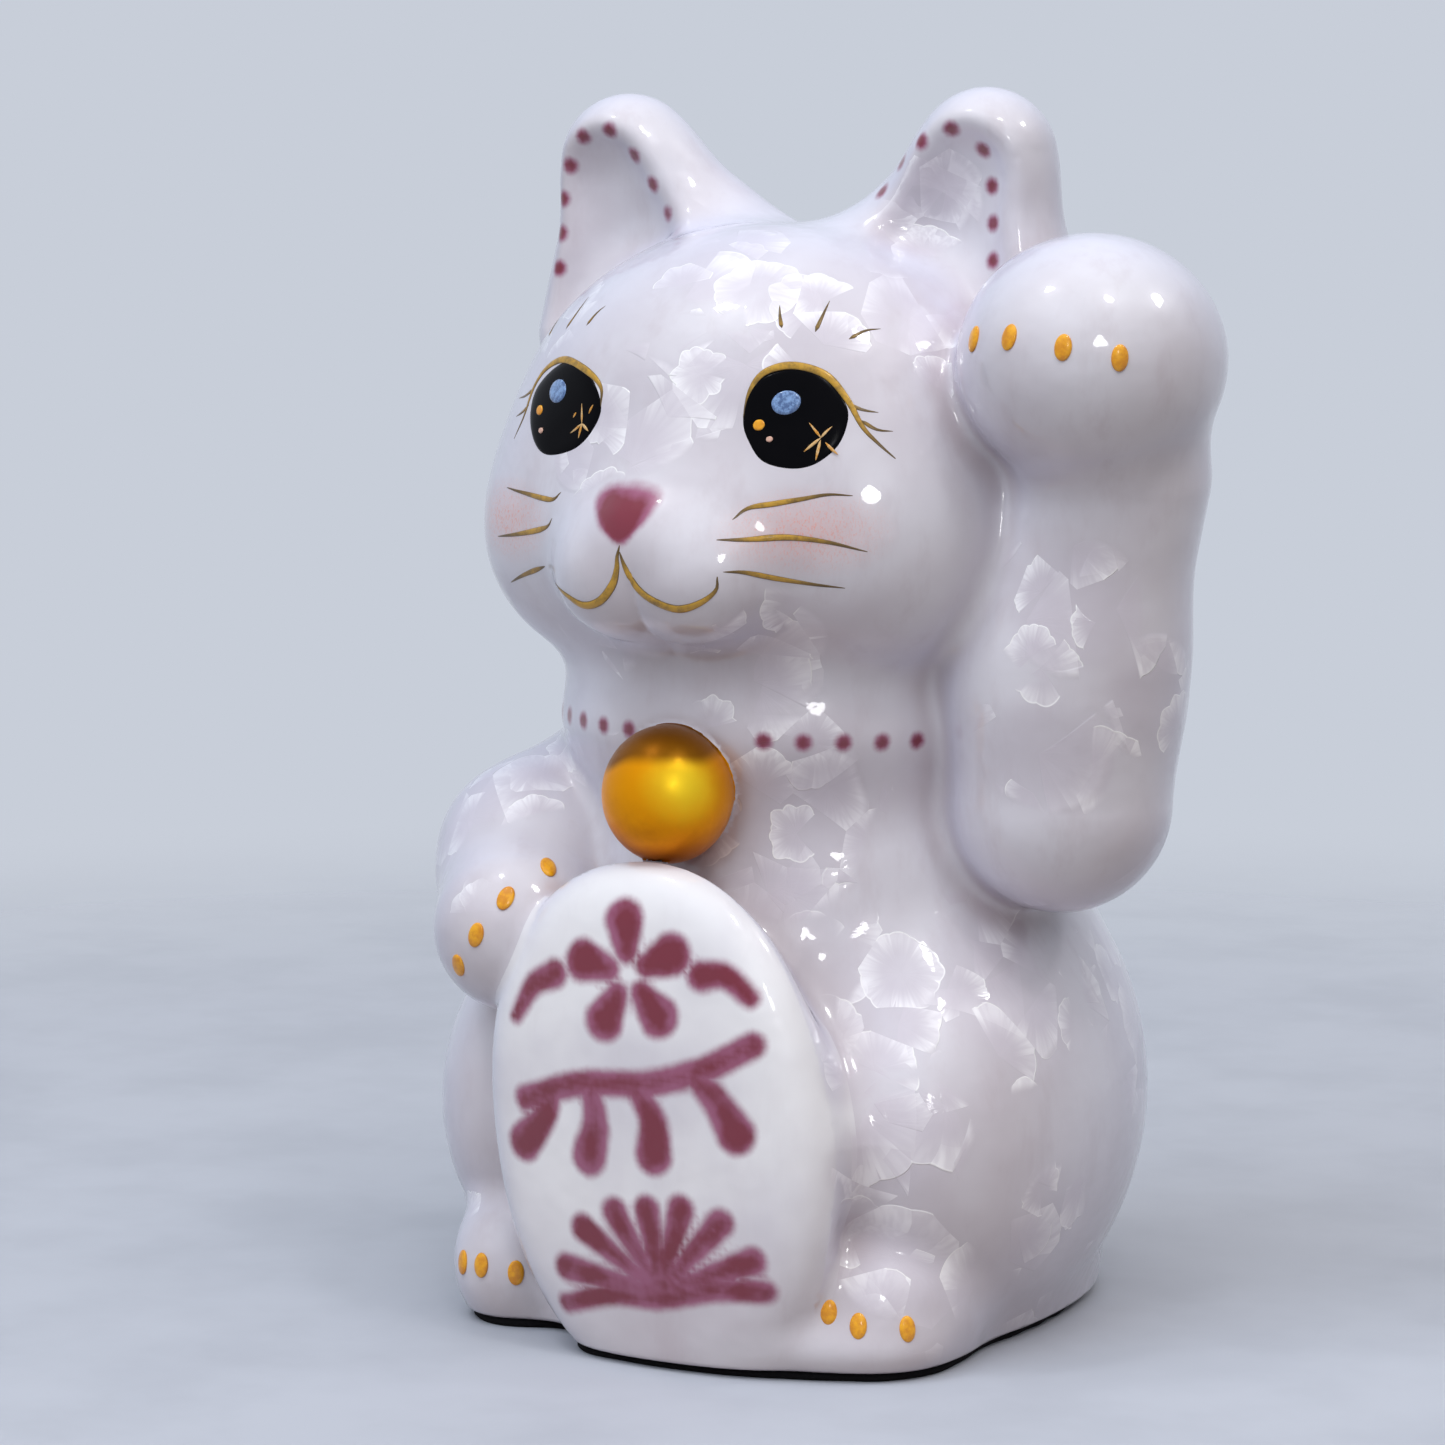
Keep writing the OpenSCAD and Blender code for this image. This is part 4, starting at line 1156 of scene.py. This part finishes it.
# Painted lines: points (x, z) from the front, widest width, and the shares of the line over
# which it swells from its start and thins to its end
LINES = {
    "lid_line_left": [
        ([(9.6, 104.4), (10, 107.4), (11.2, 109.3), (13.9, 110), (17.2, 109),
          (19.7, 106.4), (21.6, 103.5), (23.3, 101.7), (25, 100.1)], 0.95, 0.3, 0.5),
        ([(19.7, 106), (21.3, 105.3), (22.7, 105)], 0.5, 0.2, 0.8),
        ([(21.3, 104.2), (22.9, 103.2), (24.3, 103)], 0.5, 0.2, 0.8),
    ],
    "lid_line_right": [
        ([(-8.4, 105.2), (-8.8, 107.4), (-11.3, 109), (-15.7, 110.2),
          (-19.1, 109.2), (-21, 107), (-21.7, 103.8), (-22.9, 101.2)], 0.9, 0.25, 0.5),
        ([(-20.8, 106.9), (-22.6, 106), (-24.6, 105.6)], 0.5, 0.2, 0.8),
        ([(-21.2, 105), (-22.3, 104.2), (-23.8, 103.6)], 0.5, 0.2, 0.8),
    ],
    "brow_strokes": [
        ([(11.7, 114), (11.1, 115.2), (10.6, 116.4)], 0.5, 0.15, 0.85),
        ([(15.1, 113.6), (15.2, 115.3), (15.2, 116.9)], 0.5, 0.15, 0.85),
        ([(18.4, 112.8), (19.5, 113.7), (20.7, 113.9)], 0.45, 0.15, 0.85),
        ([(-21.9, 112.6), (-22.1, 113.6), (-22, 114.5)], 0.45, 0.15, 0.85),
        ([(-17.8, 113.5), (-17, 115.2), (-16.3, 117.1)], 0.5, 0.15, 0.85),
        ([(-13.8, 114), (-12.8, 115.4), (-11.8, 116.2)], 0.5, 0.15, 0.85),
    ],
    "whiskers_left": [
        ([(10.4, 93.6), (11.6, 94.8), (14.1, 95.3),
          (16.7, 95.8), (19.3, 96.3), (21.7, 96.2)], 0.64, 0.25, 0.6),
        ([(9.4, 91.5), (11.9, 91.5), (15.6, 91.7), (19.5, 91.2), (23.3, 90.2)], 0.72, 0.3, 0.6),
        ([(10.4, 88.1), (12.1, 88), (14.6, 87.2), (17.6, 86.6), (20.8, 86.2)], 0.6, 0.25, 0.6),
    ],
    "whiskers_right": [
        ([(-12.6, 95.8), (-14.3, 94.9), (-19.5, 95.4), (-22.7, 95.8)], 0.64, 0.25, 0.6),
        ([(-13.7, 92.9), (-14.9, 91.8), (-19.8, 90.8), (-24.3, 90.2)], 0.68, 0.25, 0.6),
        ([(-15.6, 87.4), (-19.7, 86.2), (-23, 85)], 0.6, 0.25, 0.6),
    ],
    "mouth_line": [
        ([(-1.2, 90.7), (-1.5, 89.4), (-1.6, 88.1), (-2.3, 86.3),
          (-4.1, 84.5), (-6.5, 83.9), (-9.1, 84.8), (-12, 85.9)], 0.95, 0.3, 0.35),
        ([(-1.2, 90), (-0.4, 87.9), (0.7, 86.1), (2.7, 84.8),
          (5.5, 84), (8, 84.7), (9.7, 86.1), (9.9, 87.6)], 0.95, 0.25, 0.35),
    ],
    "eye_star_left": [
        ([(17.9, 102.3), (17.2, 103.1), (16.5, 103.9)], 0.3, 0.3, 0.6),
        ([(17.9, 102.3), (18.3, 102.9), (18.8, 103.5)], 0.3, 0.3, 0.6),
        ([(17.9, 102.3), (17.1, 101.5), (16.4, 100.8)], 0.34, 0.3, 0.4),
        ([(17.9, 102.1), (17.8, 101), (17.7, 99.9)], 0.34, 0.3, 0.4),
        ([(18.4, 101.8), (19.1, 101.1), (19.8, 100.5)], 0.34, 0.3, 0.4),
    ],
    "eye_star_right": [
        ([(-10.8, 103.3), (-11, 104.4), (-11.2, 105.5)], 0.3, 0.3, 0.6),
        ([(-11.9, 104.5), (-12.1, 104.2), (-12.3, 103.9)], 0.3, 0.4, 0.4),
        ([(-9.9, 104.4), (-9.7, 104.9), (-9.4, 105.4)], 0.3, 0.4, 0.4),
        ([(-10.8, 103.3), (-11.6, 102.7), (-12.4, 102.2)], 0.3, 0.3, 0.4),
        ([(-10.8, 103.3), (-10.9, 102.5), (-11, 101.7)], 0.34, 0.3, 0.4),
        ([(-10.8, 103.3), (-10.2, 102.9), (-9.6, 102.5)], 0.34, 0.3, 0.4),
    ],
}
# Step along a line and fewest points in it, height of its ridge as a share of its width, sides
# of the ridge, width of its tips as a share, and how bluntly it thins towards them
LINE_STEP = 0.4
LINE_LEAST = 8
LINE_FLATNESS = 0.36
LINE_SIDES = 12
LINE_TIP = 0.12
LINE_TAPER = 0.75


def node_group(name, inputs):
    """Geometry node group with a geometry input, the named inputs, and a geometry output.

    Gives the tree, what its input node gives, and the identifier of each named input."""
    tree = bpy.data.node_groups.new(name, "GeometryNodeTree")
    tree.interface.new_socket("Geometry", in_out="INPUT", socket_type="NodeSocketGeometry")
    sockets = {}
    for key, kind in inputs.items():
        sockets[key] = tree.interface.new_socket(key, in_out="INPUT", socket_type=kind).identifier
    tree.interface.new_socket("Geometry", in_out="OUTPUT", socket_type="NodeSocketGeometry")
    return tree, tree.nodes.new("NodeGroupInput").outputs, sockets


def finish_group(tree, geometry, paint):
    """Ends the group: instances made real, smooth faces, its paint."""
    real = add(tree, "GeometryNodeRealizeInstances", {"Geometry": geometry})
    round_faces = add(tree, "GeometryNodeSetShadeSmooth", {"Geometry": real})
    painted = add(tree, "GeometryNodeSetMaterial", {"Geometry": round_faces, "Material": paint})
    tree.links.new(painted, tree.nodes.new("NodeGroupOutput").inputs[0])


def point_field(tree, name, kind):
    """What is stored under the name for each point."""
    return add(tree, "GeometryNodeInputNamedAttribute", {"Name": name}, data_type=kind)


def brush_group():
    """Sweeps a low ridge of enamel along each chain of edges, as wide as its points say."""
    kinds = {"Sides": "NodeSocketInt", "Flatness": "NodeSocketFloat", "Paint": "NodeSocketMaterial"}
    tree, given, sockets = node_group("brush_line", kinds)
    up, width = point_field(tree, "up", "FLOAT_VECTOR"), point_field(tree, "half_width", "FLOAT")
    line = add(tree, "GeometryNodeMeshToCurve", {"Mesh": given["Geometry"]})
    line = add(tree, "GeometryNodeSetCurveNormal", {"Curve": line, "Normal": up}, mode="FREE")
    ring = add(tree, "GeometryNodeCurvePrimitiveCircle", {"Resolution": given["Sides"], "Radius": 1.0})
    shape = add(tree, "ShaderNodeCombineXYZ", {"X": given["Flatness"], "Y": 1.0, "Z": 1.0})
    ring = add(tree, "GeometryNodeTransform", {"Geometry": ring, "Scale": shape})
    inputs = {"Curve": line, "Profile Curve": ring, "Scale": width, "Fill Caps": True}
    finish_group(tree, add(tree, "GeometryNodeCurveToMesh", inputs), given["Paint"])
    return tree, sockets


def drop_group():
    """Sets a domed oval drop of enamel on each point, turned to its own up and along."""
    kinds = {key: "NodeSocketFloat" for key in ("Width", "Length", "Height")}
    tree, given, sockets = node_group("enamel_drops", {**kinds, "Paint": "NodeSocketMaterial"})
    up, lengthwise = (point_field(tree, name, "FLOAT_VECTOR") for name in ("up", "along"))
    upright = add(tree, "FunctionNodeAlignRotationToVector", {"Vector": up}, axis="Z")
    inputs = {"Rotation": upright, "Vector": lengthwise}
    facing = add(tree, "FunctionNodeAlignRotationToVector", inputs, axis="Y", pivot_axis="Z")
    drop = add(tree, "GeometryNodeMeshUVSphere", {"Segments": 24, "Rings": 12, "Radius": 0.5})
    sizes = {"X": given["Width"], "Y": given["Length"], "Z": given["Height"]}
    shape = add(tree, "ShaderNodeCombineXYZ", sizes)
    inputs = {"Points": given["Geometry"], "Instance": drop, "Rotation": facing, "Scale": shape}
    finish_group(tree, add(tree, "GeometryNodeInstanceOnPoints", inputs), given["Paint"])
    return tree, sockets


def grown(name, points, edges, fields, group, settings):
    """Plain mesh object that the node group makes of the points in millimetres."""
    mesh = bpy.data.meshes.new(name)
    mesh.from_pydata((np.asarray(points, float) * MM).tolist(), edges, [])
    add_fields(mesh, fields)
    piece = linked(name, mesh)
    tree, sockets = group
    modifier = piece.modifiers.new(tree.name, "NODES")
    modifier.node_group = tree
    for key, value in settings.items():
        modifier[sockets[key]] = value
    plain = bpy.data.meshes.new_from_object(piece.evaluated_get(bpy.context.evaluated_depsgraph_get()))
    piece.modifiers.clear()
    piece.data = plain
    return piece


def painted_line(name, lines, group, paint, lift):
    """Gold lines, each thickest in its middle, lift above the glaze."""
    points, ups, widths, edges = [], [], [], []
    for path, width, swell, thin in lines:
        length = np.linalg.norm(np.diff(np.float32(path), axis=0), axis=1).sum()
        count = max(LINE_LEAST, round(length / LINE_STEP))
        line = from_front(glazed, smooth(path, count))
        normals = unit(slope(glazed, line))
        t = np.linspace(0, 1, count)
        brush = np.minimum(np.minimum(t / swell, 1), np.minimum((1 - t) / thin, 1)) ** LINE_TAPER
        start = sum(len(part) for part in points)
        points.append(line + lift * normals)
        ups.append(normals)
        widths.append(width / 2 * (LINE_TIP + (1 - LINE_TIP) * brush) * MM)
        edges += [(start + k, start + k + 1) for k in range(count - 1)]
    fields = {"up": np.concatenate(ups), "half_width": np.concatenate(widths)}
    settings = {"Sides": LINE_SIDES, "Flatness": LINE_FLATNESS, "Paint": paint}
    seat(grown(name, np.concatenate(points), edges, fields, group, settings), "gold_enamel")


# Claws, each near the surface, and the way the brush was drawn for each set
CLAWS = {
    "claws_raised_paw": (
        [(33.5, -21.1, 113), (38.8, -23.4, 113.3), (45.1, -23.4, 112.3), (50.4, -20.7, 111.2)], (0.1, 0, 1),
    ),
    "claws_lowered_paw": (
        [(-14.8, -29.9, 53.9), (-17.2, -35.2, 50.8), (-20.1, -36.8, 46.6), (-23.1, -35.7, 42.8)],
        (0.3, 0, 1),
    ),
    "claws_foot_right": ([(-26.8, -29.7, 7.2), (-23.7, -30.6, 7.4), (-19.6, -29.7, 6.8)], (0, 0, 1)),
    "claws_foot_left": ([(19.3, -29.5, 6.3), (25, -30.5, 6.4), (29.3, -27.6, 6)], (0, 0, 1)),
}
CLAW_SIZE = {"Width": 1.9 * MM, "Length": 2.9 * MM, "Height": 0.7 * MM}


def claws(group, paint):
    """Drops of gold enamel on the glaze, one for each claw."""
    for node, (spots, way) in CLAWS.items():
        points = settle(glazed, np.float32(spots))
        ups = unit(slope(glazed, points))
        fields = {"up": ups, "along": np.tile(np.float32(way), (len(points), 1))}
        piece = grown(f"enamel_{node}", points, [], fields, group, {**CLAW_SIZE, "Paint": paint})
        seat(piece, "gold_enamel", node)


# Glints on the eyes: middle (x, z), width, height, and points of the outline
GLINTS = {
    "eye_light_left": (13.9, 106, 3.2, 2.8, 10),
    "eye_light_right": (-15.6, 106.7, 3.2, 2.8, 10),
    "eye_fleck_left": (11.4, 103.6, 1.35, 1.3, 6),
    "eye_fleck_right": (-18.3, 104.5, 1.2, 1.2, 6),
    "eye_speck_left": (12.7, 102.1, 0.8, 0.7, 5),
    "eye_speck_right": (-17.4, 102.3, 0.8, 0.7, 5),
}


def enamel():
    black, blue, gold, pink = black_enamel(), blue_enamel(), gold_enamel(), pink_enamel()
    seat(pillow("enamel_eye_left", LEFT_EYE, EYE_LOW, EYE_DOME, black), "black_enamel", "eye_left")
    seat(pillow("enamel_eye_right", RIGHT_EYE, EYE_LOW, EYE_DOME, black), "black_enamel", "eye_right")
    for name, sizes in GLINTS.items():
        paint = {"light": blue, "fleck": gold, "speck": pink}[name.split("_")[1]]
        slot = "gold_enamel" if paint is gold else "black_enamel"
        seat(pillow(name, oval(*sizes), GLINT_LOW, GLINT_DOME, paint, sides=32, rings=5), slot)
    brush = brush_group()
    line_paint, star_paint = brown_gold(), star_gold()
    for name, lines in LINES.items():
        star = name.startswith("eye_star")
        paint, lift = (star_paint, EYE_DOME) if star else (line_paint, 0.0)
        painted_line(name, lines, brush, paint, lift)
    claws(drop_group(), gold)


# ---- Felt under the foot -------------------------------------------------------------------

FELT_SIDES = 240
FELT_INSET = 1.5
FELT_CENTRE = (0, 4)
FELT_ROUND = 0.3
# Height over the felt at which the foot's outline is taken, and a reach that is clear of it
OUTLINE_RISE = 1.4
CLEAR_OF_FOOT = 70
# How far the cut edge frays, and the waves in which it does
FRAY = 0.12
FRAY_WAVES = (23, 7)


def felt_pad():
    """Felt cut to the outline of the glazed foot, its edge a little soft."""
    turns = np.linspace(0, math.tau, FELT_SIDES, endpoint=False)
    out = np.stack([np.cos(turns), np.sin(turns), np.zeros_like(turns)], 1)
    level = np.float32([*FELT_CENTRE, FELT_TOP + OUTLINE_RISE])
    rim = trace(glazed, level + CLEAR_OF_FOOT * out, -out)
    rim[:, 2] = 0
    middle = np.float32([*FELT_CENTRE, 0])
    fine, slow = FRAY_WAVES
    fray = FRAY * np.sin(turns * fine + 2 * np.sin(turns * slow))
    heights = [0, FELT_ROUND * FELT_TOP, (1 - FELT_ROUND) * FELT_TOP, FELT_TOP]
    insets = [FELT_ROUND, 0, 0, FELT_ROUND]
    rings = []
    for height, inset in zip(heights, insets):
        rings.append(rim - out * (FELT_INSET + inset + fray)[:, None] + np.float32([0, 0, height]))
    points = np.concatenate([*rings, [middle, middle + np.float32([0, 0, FELT_TOP])]])
    n = FELT_SIDES
    k = np.arange(n)
    after = (k + 1) % n
    faces = [np.stack([after, k, np.full(n, 4 * n)], 1)]
    for ring in range(3):
        a, b, c, d = k + ring * n, after + ring * n, after + (ring + 1) * n, k + (ring + 1) * n
        faces += [np.stack([a, b, c], 1), np.stack([a, c, d], 1)]
    faces.append(np.stack([k + 3 * n, after + 3 * n, np.full(n, 4 * n + 1)], 1))
    return make_mesh("cut_felt", points, np.concatenate(faces), felt())


glazed_pieces()
enamel()
seat(felt_pad(), "felt", "felt_pad")

# ---- Camera, floor and light ---------------------------------------------------------------

# The camera stands to the cat's left, at this reach and height in millimetres
CAMERA_TURN = math.radians(29)
CAMERA_REACH = 506
CAMERA_HEIGHT = 124
CAMERA_PITCH = math.radians(6.32)
CAMERA_YAW = math.radians(0.944)
CAMERA_LENS = 109.6
SENSOR_WIDTH = 36
CLIP_START = 0.01
# Half the floor in metres, and the millimetres from the cat between which it fades
FLOOR_HALF = 0.6
SWEEP_START = 190
SWEEP_END = 430
STONE_PALE = ink_colour(183, 187, 198)
STONE_GREY = ink_colour(175, 179, 190)
STONE_BOUNCE = ink_colour(160, 150, 146)
WALL_COLOUR = ink_colour(200, 206, 217)
DIM_LIGHT = (0.02, 0.02, 0.02, 1)


def camera():
    data = bpy.data.cameras.new("camera")
    data.lens = CAMERA_LENS
    data.sensor_width = SENSOR_WIDTH
    data.clip_start = CLIP_START
    view = linked("camera", data)
    place = (CAMERA_REACH * math.sin(CAMERA_TURN), -CAMERA_REACH * math.cos(CAMERA_TURN), CAMERA_HEIGHT)
    view.location = [value * MM for value in place]
    view.rotation_euler = (math.pi / 2 - CAMERA_PITCH, 0, CAMERA_TURN + CAMERA_YAW)
    bpy.context.scene.camera = view


def floor():
    """Pale sweep: it fades into the wall behind, and throws less and warmer light up than it shows."""
    finish = Finish("pale_stone", roughness=0.6, specular=0.3)
    at = finish.place()
    grain = finish.ramp(finish.noise(at, 0.03, 4.0, 0.6), 0.35, 0.7)
    pale = finish.mix(grain, STONE_PALE, STONE_GREY)
    path = finish.node("ShaderNodeLightPath").outputs
    shown = finish.math("MAXIMUM", path["Is Camera Ray"], path["Is Glossy Ray"])
    finish.set("Base Color", finish.mix(shown, STONE_BOUNCE, pale))
    finish.set("Normal", finish.bump(finish.noise(at, 0.8, 3.0), 0.05, 0.3))
    finish.set("Alpha", finish.ramp(finish.vector("LENGTH", at), SWEEP_END, SWEEP_START))
    h = FLOOR_HALF / MM
    sheet = [(-h, -h, 0), (h, -h, 0), (h, h, 0), (-h, h, 0)]
    make_mesh("floor", sheet, [(0, 1, 2, 3)], finish.material)


def lamp(name, turn, height, reach, size, power, colour=(1, 1, 1)):
    """Round soft box that faces the cat, turn degrees to its left of straight ahead.

    The glaze mirrors the small ones only; the large ones stand for light from all of a side."""
    turn, height = math.radians(turn), math.radians(height)
    way = Vector((math.sin(turn) * math.cos(height), -math.cos(turn) * math.cos(height), math.sin(height)))
    data = bpy.data.lights.new(name, "AREA")
    data.shape = "DISK"
    data.size = size
    data.energy = power
    data.color = colour
    box = linked(name, data)
    box.location = LAMP_AIM + way * reach
    box.rotation_euler = way.to_track_quat("Z", "Y").to_euler()
    box.visible_glossy = size < MIRRORED_SIZE


# Point that the lamps face, and the size from which one isn't mirrored, in metres
LAMP_AIM = Vector((0, 0, 0.07))
MIRRORED_SIZE = 0.5
# Turn, height, reach in metres, size in metres, power in watts, and colour where it isn't white
LAMPS = {
    "overhead": (-20, 80, 1.2, 1.3, 6.1, (0.93, 0.97, 1)),
    "key_front": (-20, 40, 1.4, 1.4, 12.8, (0.86, 0.93, 1)),
    "fill_right": (60, 50, 1.4, 1.4, 8.2, (1, 0.95, 0.91)),
    "fill_back": (170, 45, 1.4, 1.4, 3.4),
    "ceiling_left": (-42, 66, 1.0, 0.1, 0.8),
    "ceiling_right": (64, 60, 1.0, 0.12, 1.0),
    "ceiling_back": (114, 46, 1.0, 0.14, 1.0),
    "window": (40, 21, 1.2, 0.16, 0.8),
}


def world():
    """A pale wall all round, which camera and glaze see and which throws next to no light."""
    made = bpy.data.worlds.new("studio")
    made.use_nodes = True
    tree = made.node_tree
    path = add_node(tree, "ShaderNodeLightPath").outputs
    seen = path["Is Camera Ray"]
    for kind in ("Is Glossy Ray", "Is Transmission Ray"):
        seen = add(tree, "ShaderNodeMath", {0: seen, 1: path[kind]}, operation="MAXIMUM")
    shown = add_node(tree, "ShaderNodeMix", {0: seen, 6: DIM_LIGHT, 7: WALL_COLOUR}, data_type="RGBA")
    tree.links.new(shown.outputs[2], tree.nodes["Background"].inputs["Color"])
    bpy.context.scene.world = made


camera()
floor()
for name, settings in LAMPS.items():
    lamp(name, *settings)
world()
bpy.context.scene.view_settings.view_transform = "Standard"
